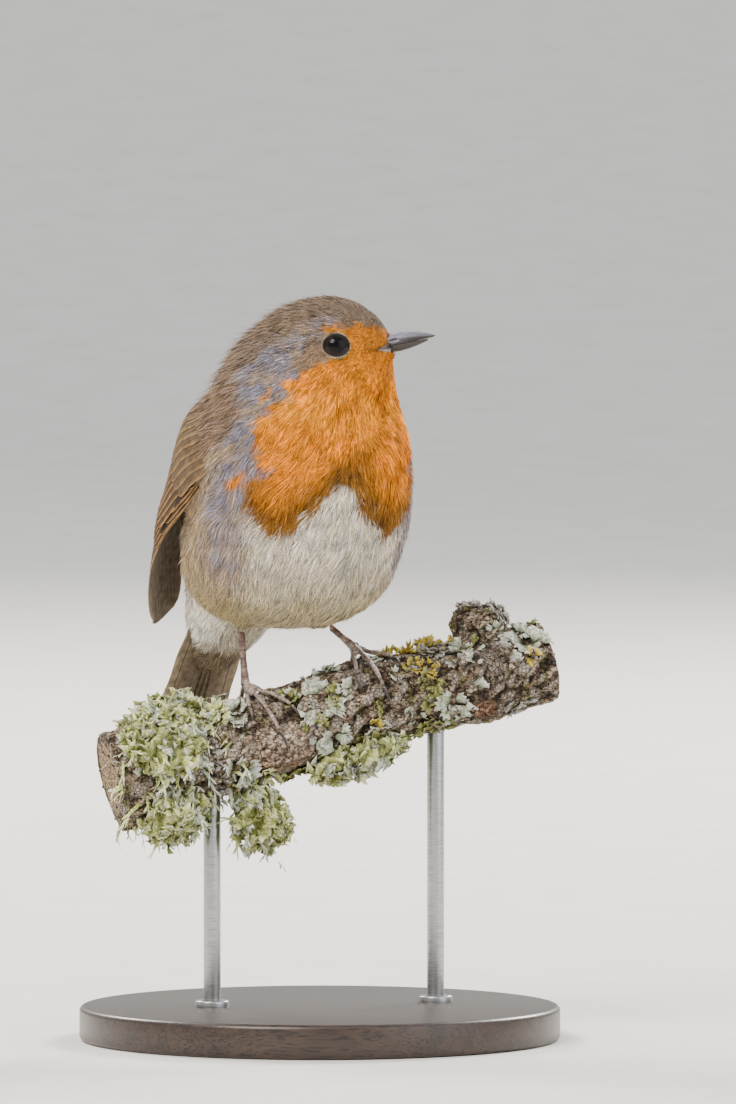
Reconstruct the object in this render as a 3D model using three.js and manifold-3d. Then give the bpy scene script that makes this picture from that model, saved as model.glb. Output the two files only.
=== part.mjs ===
// A European robin on a cut length of branch, as a still, life-size display model on a plain stand.
// Millimetres, +Z up. The origin is under the middle of the stand's base, on the surface it stands on.
// +X runs along the branch towards its rising end, and -Y is the side that the breast is turned to.
import * as THREE from "three";
import { mergeVertices } from "three/addons/utils/BufferGeometryUtils.js";
import Module from "manifold-3d";

const wasm = await Module();
wasm.setup();

// ---------------------------------------------------------------- driving dimensions

const GAP = 0.3; // left between two solids that touch
const BODY_TURN = 58; // degrees that the breast is turned from +X towards -Y
const HEAD_TURN = 10; // the same for the bill: the head looks back over the bird's left side
const BODY_PITCH = 50; // rise of the trunk's own axis, from rump to breast
const TRUNK_MIDDLE = new THREE.Vector3(-6, 0, 118);
const HEAD_MIDDLE = new THREE.Vector3(0, -13, 161.6);

const BILL = { start: 13.8, tip: 26.6, baseDrop: 0.7, tipRise: 2.5 }; // distances forward of the head's middle
const EYE = { forward: 5.7, side: 10.5, radius: 3.3 };

const WING = { front: 27, tip: -42.5, thickness: 4 }; // places along the trunk's axis
const WING_SHOULDER_END = 0.4; // share of the wing's length that the shoulder feathers cover
const WING_INNER_END = 0.8; // where the longest inner flight feather ends

const TAIL = { root: [-18.2, 0.2], pitch: 58.5, length: 58, start: 24, feather: 8.4, thickness: 0.6 };
const TAIL_PAIRS = 6;

const BRANCH = { radius: 10, left: -48, right: 53, turn: 15 };
const TOE_RADIUS = 0.75;
const FOOT_HEIGHT = 2.7; // of the toe joint above the bark

const STAND = { radius: 56, height: 8, bevel: 1.2, rodRadius: 2, rodPlaces: [-25, 27], rodDepth: 7 };

// ---------------------------------------------------------------- small helpers

const radians = THREE.MathUtils.degToRad;
const { lerp, smoothstep } = THREE.MathUtils;
const point = (x, y, z) => new THREE.Vector3(x, y, z);
const heading = (turn) => point(Math.cos(radians(turn)), -Math.sin(radians(turn)), 0);
const leftOf = (turn) => point(Math.sin(radians(turn)), Math.cos(radians(turn)), 0);

// A smooth curve through evenly spaced values.
function smooth(values) {
  const curve = new THREE.SplineCurve(values.map((value, i) => new THREE.Vector2(i, value)));
  return (share) => curve.getPoint(Math.min(Math.max(share, 0), 1)).y;
}

// A geometry with its points merged and moved one by one, as a manifold solid.
function reshaped(geometry, move) {
  geometry.deleteAttribute("normal");
  geometry.deleteAttribute("uv");
  const merged = mergeVertices(geometry, 1e-5);
  const places = merged.getAttribute("position");
  const vertProperties = new Float32Array(places.count * 3);
  for (let i = 0; i < places.count; i++) {
    const moved = move(new THREE.Vector3().fromBufferAttribute(places, i));
    moved.toArray(vertProperties, i * 3);
  }
  const triVerts = new Uint32Array(merged.index.array);
  const made = new wasm.Manifold(new wasm.Mesh({ numProp: 3, vertProperties, triVerts }));
  if (made.volume() > 0) return made;
  for (let i = 0; i < triVerts.length; i += 3) triVerts.subarray(i, i + 2).reverse();
  return new wasm.Manifold(new wasm.Mesh({ numProp: 3, vertProperties, triVerts }));
}

const placed = (geometry) => reshaped(geometry, (p) => p);

// A tube along a curve. radius(share, angle) is its reach at an angle from "across" towards its upper side.
function sweep(curve, across, radius, sides = 10, steps = 12) {
  return reshaped(new THREE.CylinderGeometry(1, 1, 1, sides, steps), (p) => {
    const share = p.y + 0.5;
    const tangent = curve.getTangent(share);
    const up = across.clone().cross(tangent).normalize();
    const sideways = tangent.clone().cross(up);
    const angle = Math.atan2(p.z, p.x);
    const reach = Math.hypot(p.x, p.z) * radius(share, angle);
    return curve
      .getPoint(share)
      .addScaledVector(sideways, reach * Math.cos(angle))
      .addScaledVector(up, reach * Math.sin(angle));
  });
}

// Reach of an ellipse at an angle, with its own upper and lower half.
function oval(across, upper, lower) {
  return (angle) => {
    const height = Math.sin(angle) > 0 ? upper : lower;
    return 1 / Math.hypot(Math.cos(angle) / across, Math.sin(angle) / height);
  };
}

// The largest piece of a solid, without slivers that a cut left loose.
function largest(solid) {
  return solid.decompose().reduce((best, piece) => (piece.volume() > best.volume() ? piece : best));
}

const cut = (solid, ...cutters) =>
  largest(cutters.reduce((left, cutter) => left.subtract(cutter), solid)).simplify(0.1);
const joined = (solids) => solids.reduce((whole, solid) => whole.add(solid));

// The part of a solid on the side of a plane that its normal points to, half a gap away from the plane.
function beyond(solid, place, normal) {
  const size = 400;
  const box = new THREE.BoxGeometry(size, size, size);
  box.translate(0, 0, size / 2 + GAP / 2);
  box.applyQuaternion(new THREE.Quaternion().setFromUnitVectors(point(0, 0, 1), normal.clone().normalize()));
  box.translate(place.x, place.y, place.z);
  return solid.intersect(placed(box));
}

// ---------------------------------------------------------------- body, out to the tips of its coat

// Level rings from the belly's lowest point up to the crown. Each has its middle (x, y), its height, its reach
// to the front, to the back and to each side, and how far that level is turned.
const RINGS = [
  { middle: [-8.8, 5], height: 95.0, front: 0, back: 0, side: 0, turn: 58 },
  { middle: [-8.8, 5], height: 96.3, front: 13, back: 13, side: 12, turn: 58 },
  { middle: [-8.3, 4], height: 99.6, front: 20, back: 21, side: 18.5, turn: 58 },
  { middle: [-7.6, 2.8], height: 104.5, front: 25, back: 26, side: 22.8, turn: 58 },
  { middle: [-7.0, 1.6], height: 112, front: 28.5, back: 29.5, side: 25.3, turn: 58 },
  { middle: [-6.0, 0], height: 121, front: 31, back: 30, side: 26.2, turn: 58 },
  { middle: [-5.2, -1.5], height: 130, front: 31, back: 28.5, side: 25.6, turn: 56 },
  { middle: [-4.2, -3.4], height: 138, front: 28, back: 28.6, side: 24, turn: 50 },
  { middle: [-3.0, -6], height: 145, front: 23.5, back: 27.4, side: 21.2, turn: 38 },
  { middle: [-2.2, -9.2], height: 151.5, front: 20.6, back: 24.6, side: 17.6, turn: 25 },
  { middle: [-1.0, -12], height: 158, front: 18.6, back: 21.6, side: 14.2, turn: 14 },
  { middle: [0.2, -13.2], height: 163, front: 17, back: 19, side: 12.6, turn: 10 },
  { middle: [0.7, -13.8], height: 167.3, front: 14.2, back: 15, side: 10.8, turn: 10 },
  { middle: [1.0, -14], height: 170.8, front: 9.9, back: 10.3, side: 8, turn: 10 },
  { middle: [1.2, -14], height: 172.9, front: 5, back: 5, side: 4.2, turn: 10 },
  { middle: [1.2, -14], height: 173.5, front: 0, back: 0, side: 0, turn: 10 },
];

const ring = {};
for (const key of ["height", "front", "back", "side", "turn"]) ring[key] = smooth(RINGS.map((level) => level[key]));
const ringMiddle = [0, 1].map((axis) => smooth(RINGS.map((level) => level.middle[axis])));

function bodyOfRings(around = 24, rows = 22) {
  const ball = new THREE.SphereGeometry(1, around, rows).rotateX(Math.PI / 2);
  return reshaped(ball, (p) => {
    const share = 1 - Math.acos(THREE.MathUtils.clamp(p.z, -1, 1)) / Math.PI;
    const pole = Math.hypot(p.x, p.y) < 1e-6;
    const angle = Math.atan2(p.y, p.x);
    const forward = pole ? 0 : Math.cos(angle) * ring[Math.cos(angle) > 0 ? "front" : "back"](share);
    const sideways = pole ? 0 : Math.sin(angle) * ring.side(share);
    return point(ringMiddle[0](share), ringMiddle[1](share), ring.height(share))
      .addScaledVector(heading(ring.turn(share)), forward)
      .addScaledVector(leftOf(ring.turn(share)), sideways);
  });
}

// The number between low and high where "before" stops being true.
function boundary(low, high, before) {
  for (let i = 0; i < 24; i++) {
    const middle = (low + high) / 2;
    if (before(middle)) low = middle;
    else high = middle;
  }
  return low;
}

function inBody(place) {
  const share = boundary(0, 1, (at) => ring.height(at) < place.z);
  const offset = place.clone().sub(point(ringMiddle[0](share), ringMiddle[1](share), place.z));
  const forward = offset.dot(heading(ring.turn(share)));
  const reach = forward > 0 ? ring.front(share) : ring.back(share);
  return Math.hypot(forward / reach, offset.dot(leftOf(ring.turn(share))) / ring.side(share)) < 1;
}

// A place in the trunk's own frame: forward along the breast's heading, to the bird's left, and up.
function fromTrunk(forward, left, up) {
  return TRUNK_MIDDLE.clone()
    .addScaledVector(heading(BODY_TURN), forward)
    .addScaledVector(leftOf(BODY_TURN), left)
    .add(point(0, 0, up));
}

// Rump and tail coverts: a cone from inside the trunk to the root of the tail.
function rumpCone(grow = 0) {
  const line = new THREE.CatmullRomCurve3([
    fromTrunk(-12, 0, 1),
    fromTrunk(-22, 0, -10),
    fromTrunk(-32, 0, -23.5),
    fromTrunk(-38, 0, -33.5),
  ]);
  const across = smooth([17, 15.5, 10.5, 6.4]);
  const upper = smooth([12, 11.5, 7, 1.8]);
  const lower = smooth([12, 11.5, 8, 2]);
  return sweep(
    line,
    leftOf(BODY_TURN),
    (share, angle) => oval(across(share) + grow, upper(share) + grow, lower(share) + grow)(angle),
    16,
    9,
  );
}

// ---------------------------------------------------------------- wings

const trunkAxis = heading(BODY_TURN)
  .multiplyScalar(Math.cos(radians(BODY_PITCH)))
  .add(point(0, 0, Math.sin(radians(BODY_PITCH))));
const dorsal = heading(BODY_TURN)
  .multiplyScalar(-Math.sin(radians(BODY_PITCH)))
  .add(point(0, 0, Math.cos(radians(BODY_PITCH))));

// The folded wing lies round the trunk's axis. At each share of its length, from shoulder to tip, it reaches
// from a lower to an upper angle above the bird's side. Its outer face stands off the body by the cover, and is
// never nearer to the axis than its own reach, which shapes the free end.
const wingLower = smooth([12, 9, 10, 14, 19, 27, 34, 44]);
const wingUpper = smooth([36, 60, 70, 75, 80, 82, 82, 74]);
const wingCover = smooth([0.2, 1.3, 2.7, 3.3, 3.2, 2.8, 2.4, 2]);
const wingReach = smooth([20, 24, 28, 30.4, 30.5, 28.4, 25.9, 22]);

function wingPlace(side, share, across, inward) {
  const angle = radians(lerp(wingLower(share), wingUpper(share), across));
  const start = TRUNK_MIDDLE.clone().addScaledVector(trunkAxis, lerp(WING.front, WING.tip, share));
  const outward = leftOf(BODY_TURN)
    .multiplyScalar(side * Math.cos(angle))
    .addScaledVector(dorsal, Math.sin(angle));
  const skin = boundary(0, 45, (reach) => inBody(start.clone().addScaledVector(outward, reach)));
  const reach = Math.max(skin + wingCover(share), wingReach(share));
  return start.addScaledVector(outward, reach - inward);
}

// One layer of the wing as a curved sheet, between two shares of its length and of its width, thinner towards
// its rims and its tip. Its free end is rounded by "round", a share of the length.
function wingSheet(side, layer, grow = 0) {
  const { from, to, low, high, round } = layer;
  const edge = grow / (WING.front - WING.tip);
  return reshaped(new THREE.BoxGeometry(1, 1, 1, 4, 7, 1), (p) => {
    const [over, down, inner] = [p.x * 2, p.y + 0.5, p.z > 0];
    const end = to + edge - round * over * over;
    const share = lerp(from - edge, end, down);
    const across = lerp(low - grow / 24, high + grow / 24, p.x + 0.5);
    const thick = WING.thickness * lerp(1, 0.55, share) * (1 - 0.3 * over ** 4);
    return wingPlace(side, share, across, inner ? -grow : thick + grow);
  });
}

const WING_LAYERS = {
  shoulder: { from: 0, to: WING_SHOULDER_END, low: 0, high: 1, round: 0.03 },
  inner: { from: WING_SHOULDER_END + 0.006, to: WING_INNER_END, low: 0.565, high: 1, round: 0.06 },
  hand: { from: WING_SHOULDER_END + 0.006, to: 1, low: 0, high: 0.55, round: 0.03 },
};

// ---------------------------------------------------------------- tail

const tailLine = heading(BODY_TURN)
  .multiplyScalar(-Math.cos(radians(TAIL.pitch)))
  .add(point(0, 0, -Math.sin(radians(TAIL.pitch))));
const tailUpper = leftOf(BODY_TURN).cross(tailLine).normalize();

// One tail feather, lying in the tail's plane: straight edges and a softly pointed end.
function tailFeather(length, width) {
  const outline = new THREE.Shape();
  outline.moveTo(-width * 0.36, TAIL.start);
  outline.lineTo(width * 0.36, TAIL.start);
  outline.lineTo(width * 0.5, length * 0.7);
  outline.quadraticCurveTo(width * 0.52, length - 3, 0.2, length);
  outline.quadraticCurveTo(-width * 0.52, length - 3, -width * 0.5, length * 0.7);
  return new THREE.ExtrudeGeometry(outline, { depth: TAIL.thickness, bevelEnabled: false, curveSegments: 2 });
}

// The closed fan: the middle pair lies on top, and each pair further out is a little lower and shorter.
function tailFan() {
  const root = fromTrunk(TAIL.root[0], 0, TAIL.root[1]);
  const frame = new THREE.Matrix4().makeBasis(leftOf(BODY_TURN), tailLine, tailUpper).setPosition(root);
  const feathers = [];
  for (let pair = 0; pair < TAIL_PAIRS; pair++)
    for (const side of [-1, 1]) {
      const feather = tailFeather(TAIL.length - [1.6, 0.8, 0, 0, 0.6, 1.8][pair], TAIL.feather);
      feather.rotateZ(radians(-side * (0.3 + 0.45 * pair)));
      feather.translate(side * (0.4 + 0.86 * pair), 0, -0.42 * pair - 0.06 * (side + 1));
      feathers.push(placed(feather.applyMatrix4(frame)));
    }
  return joined(feathers);
}

// ---------------------------------------------------------------- branch

const branchLine = new THREE.CatmullRomCurve3(
  [
    [BRANCH.left, 60.5],
    [-28, 65.8],
    [-8, 72.2],
    [12, 78.8],
    [32, 82.6],
    [BRANCH.right, 87.2],
  ].map(([x, z]) => point(x, (x + 6) * Math.tan(radians(BRANCH.turn)), z)),
);

// Share of the branch's curve that has this x.
const branchShare = (x) => boundary(0, 1, (share) => branchLine.getPoint(share).x < x);

// Bark swells and dips gently, and thickens towards the left end, where the lichen is deepest.
function branchRadius(share, angle) {
  const swell = 0.45 * Math.sin(share * 23 + 1) + 0.3 * Math.sin(share * 41 + angle * 2);
  const flute = 0.35 * Math.sin(angle * 3 + share * 9);
  return BRANCH.radius + swell + flute + 1.6 * smoothstep(0.3 - share, 0, 0.3);
}

const branchAcross = point(0, -1, 0);

// A place over the bark: at an x, so many degrees from the top round to the front, and a height above it.
function overBark(x, around, height) {
  const share = branchShare(x);
  const tangent = branchLine.getTangent(share);
  const up = branchAcross.clone().cross(tangent).normalize();
  const front = tangent.clone().cross(up);
  const reach = branchRadius(share, Math.PI / 2 - radians(around)) + height;
  return branchLine
    .getPoint(share)
    .addScaledVector(up, reach * Math.cos(radians(around)))
    .addScaledVector(front, reach * Math.sin(radians(around)));
}

const branchTube = (grow = 0) =>
  sweep(branchLine, branchAcross, (share, angle) => branchRadius(share, angle) + grow, 16, 17);

// A rough lump on the bark, squashed against it.
function lump([x, around, long, tall, wide, sink = 0.4], grow = 0) {
  const middle = overBark(x, around, tall * (1 - 2 * sink));
  const outward = middle.clone().sub(branchLine.getPoint(branchShare(x))).normalize();
  const along = branchLine.getTangent(branchShare(x));
  const beside = along.clone().cross(outward).normalize();
  return reshaped(new THREE.SphereGeometry(1, 9, 6), (p) => {
    const rough = 1 + 0.09 * Math.sin(p.x * 6 + x) * Math.cos(p.z * 7) + 0.06 * Math.sin(p.y * 9 + around);
    return middle
      .clone()
      .addScaledVector(along, p.x * (long * rough + grow))
      .addScaledVector(outward, p.y * (tall * rough + grow))
      .addScaledVector(beside, p.z * (wide * rough + grow));
  });
}

// ---------------------------------------------------------------- legs and feet

// Each foot: its place along the branch, the way up its leg to the heel, and its toes. A toe runs "along" the
// branch in millimetres while it goes "round" it in degrees, and its claw goes further round.
const FEET = {
  right: {
    x: -13.4,
    lean: 3,
    heel: point(-19.4, 6, 106),
    visible: 0.66,
    thigh: [point(-14, 2.5, 113), point(-17.4, 3.4, 104), point(-18.5, 2.2, 94.8)],
    toes: {
      inner: { along: 6.5, round: 57, claw: 20 },
      middle: { along: 1.8, round: 84, claw: 28 },
      outer: { along: -2.2, round: 45, claw: 22 },
      hind: { along: -1.5, round: -58, claw: -38 },
    },
  },
  left: {
    x: 11,
    lean: 4,
    heel: point(-9.5, 10, 105.7),
    visible: 0.66,
    thigh: [point(-1, 4, 114), point(-1.6, 6.4, 105), point(1, 6.4, 94.8)],
    toes: {
      inner: { along: -2.4, round: 52, claw: 22 },
      middle: { along: 1.8, round: 74, claw: 26 },
      outer: { along: 6.4, round: 34, claw: 18 },
      hind: { along: 0.5, round: -56, claw: -38 },
    },
  },
};

const toeJoint = (foot) => overBark(foot.x, foot.lean, FOOT_HEIGHT);

function tarsus(foot, grow = 0) {
  const line = new THREE.LineCurve3(toeJoint(foot), toeJoint(foot).lerp(foot.heel, foot.visible + grow / 20));
  const thick = smooth([1.25, 0.82, 0.74, 0.82, 0.95, 1.0]);
  const reach = (share, angle) => thick(share) * oval(1, 1.2, 1.2)(angle) + grow;
  return sweep(line, leftOf(BODY_TURN), reach, 8, 5);
}

// The feathered lower thigh, which shows as a short cuff where the leg leaves the belly.
function thigh(foot, grow = 0) {
  const line = new THREE.CatmullRomCurve3(foot.thigh);
  const thick = smooth([6.5, 5.6, 4.2, 2.7, 1.7]);
  return sweep(line, leftOf(BODY_TURN), (share) => thick(share) + grow, 10, 6);
}

// The line of a toe: down from the toe joint on to the bark and on round the branch.
function toePlace(foot, toe, share) {
  const height = lerp(FOOT_HEIGHT - 0.2, TOE_RADIUS + 0.15, smoothstep(share, 0, 0.32)) + 0.35 * Math.sin(share * 9) ** 2;
  const start = foot.lean;
  return overBark(foot.x + toe.along * share ** 0.85, lerp(start, toe.round, share), height);
}

function toeTube(foot, toe, grow = 0) {
  const [from, to] = [0.06 - grow / 12, 1 + grow / 12];
  const line = new THREE.CatmullRomCurve3(
    Array.from({ length: 7 }, (_, i) => toePlace(foot, toe, lerp(from, to, i / 6))),
  );
  const thick = (share) => TOE_RADIUS * (1.12 - 0.24 * share + 0.1 * Math.sin(share * 19)) + grow;
  return sweep(line, branchLine.getTangent(branchShare(foot.x)), thick, 6, 8);
}

// A claw carries on from its toe, arched off the bark and then down to it.
function claw(foot, toe) {
  const along = toe.along >= 0 ? 0.7 : -0.7;
  const places = [0.02, 0.35, 0.7, 1].map((share) =>
    overBark(
      foot.x + toe.along + along * share,
      toe.round + toe.claw * share,
      0.75 + 0.75 * Math.sin(share * Math.PI) - 0.35 * share,
    ),
  );
  const line = new THREE.CatmullRomCurve3(places);
  return sweep(line, branchLine.getTangent(branchShare(foot.x)), (share) => lerp(0.5, 0.12, share), 5, 4);
}

// ---------------------------------------------------------------- head pieces

const headForward = heading(HEAD_TURN);
const headLeft = leftOf(HEAD_TURN);

// One half of the bill, above or below the line where the two meet, which rises from the gape to the tip.
function mandible(upper, grow = 0) {
  const height = smooth(upper ? [2.3, 2.85, 2.75, 2.35, 1.6, 0.25] : [1.1, 1.5, 1.75, 1.55, 1.0, 0.2]);
  const half = smooth([3.0, 2.75, 2.15, 1.6, 1.0, 0.2]);
  const tip = BILL.tip - (upper ? 0 : 0.7) + grow;
  return reshaped(new THREE.CylinderGeometry(1, 1, 1, 12, 7), (p) => {
    const share = p.y + 0.5;
    const angle = Math.atan2(p.z, p.x);
    const reach = Math.hypot(p.x, p.z);
    const outer = Math.sin(angle) > 0;
    const rise = outer ? Math.sin(angle) ** 1.15 * (height(share) + grow) : Math.sin(angle) * (0.05 + grow);
    const line = lerp(-BILL.baseDrop, BILL.tipRise, share) + (upper ? 0 : -GAP);
    return HEAD_MIDDLE.clone()
      .addScaledVector(headForward, lerp(BILL.start - grow, tip, share))
      .addScaledVector(headLeft, reach * Math.cos(angle) * (half(share) + grow))
      .add(point(0, 0, line + (upper ? 1 : -1) * reach * rise));
  });
}

function eyeball(side, grow = 0) {
  const ball = new THREE.SphereGeometry(EYE.radius + grow, 12, 8);
  const middle = HEAD_MIDDLE.clone()
    .addScaledVector(headForward, EYE.forward)
    .addScaledVector(headLeft, side * EYE.side);
  return placed(ball.translate(middle.x, middle.y, middle.z));
}

// ---------------------------------------------------------------- stand

function standBase() {
  const { radius, height, bevel } = STAND;
  const profile = [
    [0, 0],
    [radius - 0.6, 0],
    [radius, 0.6],
    [radius, height - bevel],
    [radius - 0.35 * bevel, height - 0.35 * bevel],
    [radius - bevel, height],
    [0, height],
  ].map(([r, z]) => new THREE.Vector2(r, z));
  return placed(new THREE.LatheGeometry(profile, 32).rotateX(Math.PI / 2));
}

// The rods stand on the base and reach up into blind holes in the branch.
function rod(x, grow = 0) {
  const foot = branchLine.getPoint(branchShare(x));
  const bottom = STAND.height + GAP - grow * 2;
  const top = foot.z - branchRadius(0.5, 0) + STAND.rodDepth + grow;
  const bar = new THREE.CylinderGeometry(STAND.rodRadius + grow, STAND.rodRadius + grow, top - bottom, 14);
  return placed(bar.rotateX(Math.PI / 2).translate(foot.x, foot.y, (top + bottom) / 2));
}

// ---------------------------------------------------------------- materials

const finish = (color, roughness = 0.8, metalness = 0) =>
  new THREE.MeshStandardMaterial({ color, roughness, metalness, flatShading: true });

const COLOURS = {
  crown: finish("#8a705a"),
  throat: finish("#d98a3c"),
  belly: finish("#c9bda8"),
  rump: finish("#b5a088"),
  wing: finish("#83694f"),
  flight: finish("#6b573f"),
  tail: finish("#6a5843"),
  horn: finish("#3b3434", 0.35),
  leg: finish("#6d5244", 0.5),
  eye: finish("#120d0a", 0.08),
  bark: finish("#7b6a58", 0.95),
  lichen: finish("#b4bd9c", 0.95),
  stand: finish("#2b211b", 0.35),
  rod: finish("#9a9a9a", 0.3, 1),
};

const robin = new THREE.Group();

function add(name, solid, material) {
  const { vertProperties, triVerts } = solid.getMesh();
  const geometry = new THREE.BufferGeometry();
  geometry.setAttribute("position", new THREE.BufferAttribute(new Float32Array(vertProperties), 3));
  geometry.setIndex(new THREE.BufferAttribute(new Uint32Array(triVerts), 1));
  geometry.computeVertexNormals();
  const mesh = new THREE.Mesh(geometry, material);
  mesh.name = name;
  robin.add(mesh);
}

// ---------------------------------------------------------------- assembly

const SIDES = { right: -1, left: 1 };

// Stand and perch.
const rods = STAND.rodPlaces.map((x) => ({ bar: rod(x), hole: rod(x, GAP) }));
add("stand_base", standBase(), COLOURS.stand);
rods.forEach(({ bar }, i) => add(`stand_rod_${i + 1}`, bar, COLOURS.rod));

const knobs = [
  [37.5, -8, 4.8, 5.8, 5],
  [41.5, 10, 4.6, 5, 4.2],
  [33, 72, 3.4, 2.6, 3.2, 0.3],
];
const branch = (grow) => joined([branchTube(grow), ...knobs.map((knob) => lump(knob, grow))]);
add("perch_branch", cut(branch(0), ...rods.map(({ hole }) => hole)), COLOURS.bark);

const barkClear = joined([branch(GAP), ...rods.map(({ hole }) => hole)]);
const LICHENS = {
  left_front: [-37, 60, 9, 4.4, 10, 0.3],
  left_top: [-33, -12, 10, 3.2, 8, 0.3],
  left_under: [-38, 150, 8, 4.4, 9, 0.3],
  hanging: [-20, 172, 6, 8, 5, 0.05],
  middle_under: [4, 160, 13, 3.8, 5.5, 0.3],
};
const earlierGrowths = [barkClear];
for (const [name, shape] of Object.entries(LICHENS)) {
  add(`perch_lichen_${name}`, cut(lump(shape), ...earlierGrowths), COLOURS.lichen);
  earlierGrowths.push(lump(shape, GAP));
}

// Wings and tail.
const wingSlots = [];
for (const [name, side] of Object.entries(SIDES))
  for (const [layer, shape] of Object.entries(WING_LAYERS)) {
    add(`wing_${name}_${layer}`, wingSheet(side, shape), layer === "shoulder" ? COLOURS.wing : COLOURS.flight);
    wingSlots.push(wingSheet(side, shape, GAP));
  }
const rumpClear = rumpCone(GAP);
add("tail_feathers", cut(tailFan(), rumpClear), COLOURS.tail);

// Legs and feet.
const legClear = [];
for (const [name, foot] of Object.entries(FEET)) {
  add(`leg_${name}_thigh`, thigh(foot), COLOURS.belly);
  add(`leg_${name}_tarsus`, cut(tarsus(foot), thigh(foot, GAP)), COLOURS.leg);
  legClear.push(thigh(foot, GAP), tarsus(foot, GAP));
  const earlier = [barkClear, tarsus(foot, GAP)];
  for (const digit of ["middle", "inner", "outer", "hind"]) {
    const toe = foot.toes[digit];
    add(`foot_${name}_${digit}_toe`, cut(toeTube(foot, toe), ...earlier), COLOURS.leg);
    add(`foot_${name}_${digit}_claw`, cut(claw(foot, toe), barkClear, toeTube(foot, toe, GAP)), COLOURS.horn);
    earlier.push(toeTube(foot, toe, GAP));
  }
}

// Head, neck, trunk and rump are one form, parted by thin cuts.
const eyeClear = Object.values(SIDES).map((side) => eyeball(side, GAP));
const whole = cut(bodyOfRings().add(rumpCone()), ...wingSlots, ...legClear);
const neckTop = [point(0, -12, 155.5), point(-0.12, 0.1, 1)];
const neckFoot = [point(-4, -6, 139.5), point(0.12, 0.05, 1)];
const rumpStart = [fromTrunk(-25, 0, -12), trunkAxis.clone()];
const opposite = ([place, normal]) => [place, normal.clone().negate()];
const head = beyond(whole, ...neckTop);
add("head", cut(head, mandible(true, GAP), mandible(false, GAP), ...eyeClear), COLOURS.crown);
add("neck", cut(beyond(beyond(whole, ...opposite(neckTop)), ...neckFoot)), COLOURS.throat);
const torso = beyond(whole, ...opposite(neckFoot));
add("trunk", cut(beyond(torso, ...rumpStart)), COLOURS.belly);
add("rump", cut(beyond(torso, ...opposite(rumpStart))), COLOURS.rump);

add("bill_upper", mandible(true), COLOURS.horn);
add("bill_lower", cut(mandible(false), mandible(true, GAP * 0.9)), COLOURS.horn);
for (const [name, side] of Object.entries(SIDES)) add(`eye_${name}`, eyeball(side), COLOURS.eye);

export default robin;
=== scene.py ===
# %% [markdown]
# # A European robin on a lichened branch
#
# The bird is life size, about 100 mm from its feet to its crown, and stands on a cut length of branch that
# two steel rods hold over a wooden base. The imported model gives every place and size. This script dresses
# it: a smooth skin goes just inside the solids, a coat of small feathers covers the skin, and the wings,
# tail, bill, eyes, feet, bark and lichen are modelled as pieces of their own. Everything is in metres.
# Sizes that a maker would read in millimetres are written as a number times MM.

# %% Load the frame
import math

import bmesh
import bpy
import numpy as np
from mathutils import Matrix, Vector
from mathutils.bvhtree import BVHTree


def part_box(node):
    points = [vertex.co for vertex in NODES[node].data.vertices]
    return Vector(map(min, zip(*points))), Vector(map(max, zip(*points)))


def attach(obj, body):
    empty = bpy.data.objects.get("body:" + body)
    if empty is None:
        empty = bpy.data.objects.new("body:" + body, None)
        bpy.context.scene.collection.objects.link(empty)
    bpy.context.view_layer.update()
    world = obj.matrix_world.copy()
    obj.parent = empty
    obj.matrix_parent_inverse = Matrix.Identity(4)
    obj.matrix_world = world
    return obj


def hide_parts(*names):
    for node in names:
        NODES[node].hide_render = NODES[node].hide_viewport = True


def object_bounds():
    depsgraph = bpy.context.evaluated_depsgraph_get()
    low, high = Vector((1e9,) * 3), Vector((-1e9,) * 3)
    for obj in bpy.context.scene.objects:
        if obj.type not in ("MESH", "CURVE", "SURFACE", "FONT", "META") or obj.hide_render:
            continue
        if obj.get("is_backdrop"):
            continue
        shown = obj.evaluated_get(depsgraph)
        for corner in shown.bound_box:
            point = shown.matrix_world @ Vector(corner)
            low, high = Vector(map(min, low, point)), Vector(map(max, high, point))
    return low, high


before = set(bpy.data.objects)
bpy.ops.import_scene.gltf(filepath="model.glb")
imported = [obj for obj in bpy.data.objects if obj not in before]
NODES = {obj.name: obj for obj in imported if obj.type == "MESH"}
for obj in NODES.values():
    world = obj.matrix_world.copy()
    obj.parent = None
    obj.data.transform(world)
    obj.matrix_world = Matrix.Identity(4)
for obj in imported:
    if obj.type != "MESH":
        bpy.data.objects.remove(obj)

MM = 0.001
CAD_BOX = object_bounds()
print("solids' box, mm:", [[round(value / MM, 1) for value in corner] for corner in CAD_BOX])

# %% [markdown]
# ## Camera
#
# A long lens far away flattens the view, as field glasses do. The camera looks along +Y from a little above
# the branch's height, and its frame is 257 mm high at the bird.

# %% Camera
CAMERA_DISTANCE = 2.139
CAMERA_RISE = math.radians(2)
AIM = Vector((11.2, 0, 113.5)) * MM


def aimed_object(name, data, place, target):
    """Adds a camera or light at a place, turned towards a target."""
    made = bpy.data.objects.new(name, data)
    bpy.context.scene.collection.objects.link(made)
    made.location = place
    made.rotation_mode = "QUATERNION"
    made.rotation_quaternion = (Vector(target) - Vector(place)).to_track_quat("-Z", "Y")
    return made


lens = bpy.data.cameras.new("portrait_lens")
lens.lens = 300
lens.clip_end = 50
back_off = Vector((0, -math.cos(CAMERA_RISE), math.sin(CAMERA_RISE))) * CAMERA_DISTANCE
bpy.context.scene.camera = aimed_object("camera", lens, AIM + back_off, AIM)
print("camera at", [round(value, 3) for value in AIM + back_off])

# %% [markdown]
# ## Colours and finishes
#
# Most finishes are built alike: a colour is painted on the points of a piece, fine noise on the piece's own
# coordinates darkens it in grains, and the same noise raises the surface a little. The size of the grains
# is given as their number to a millimetre, which is easy to count on the real material.

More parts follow.
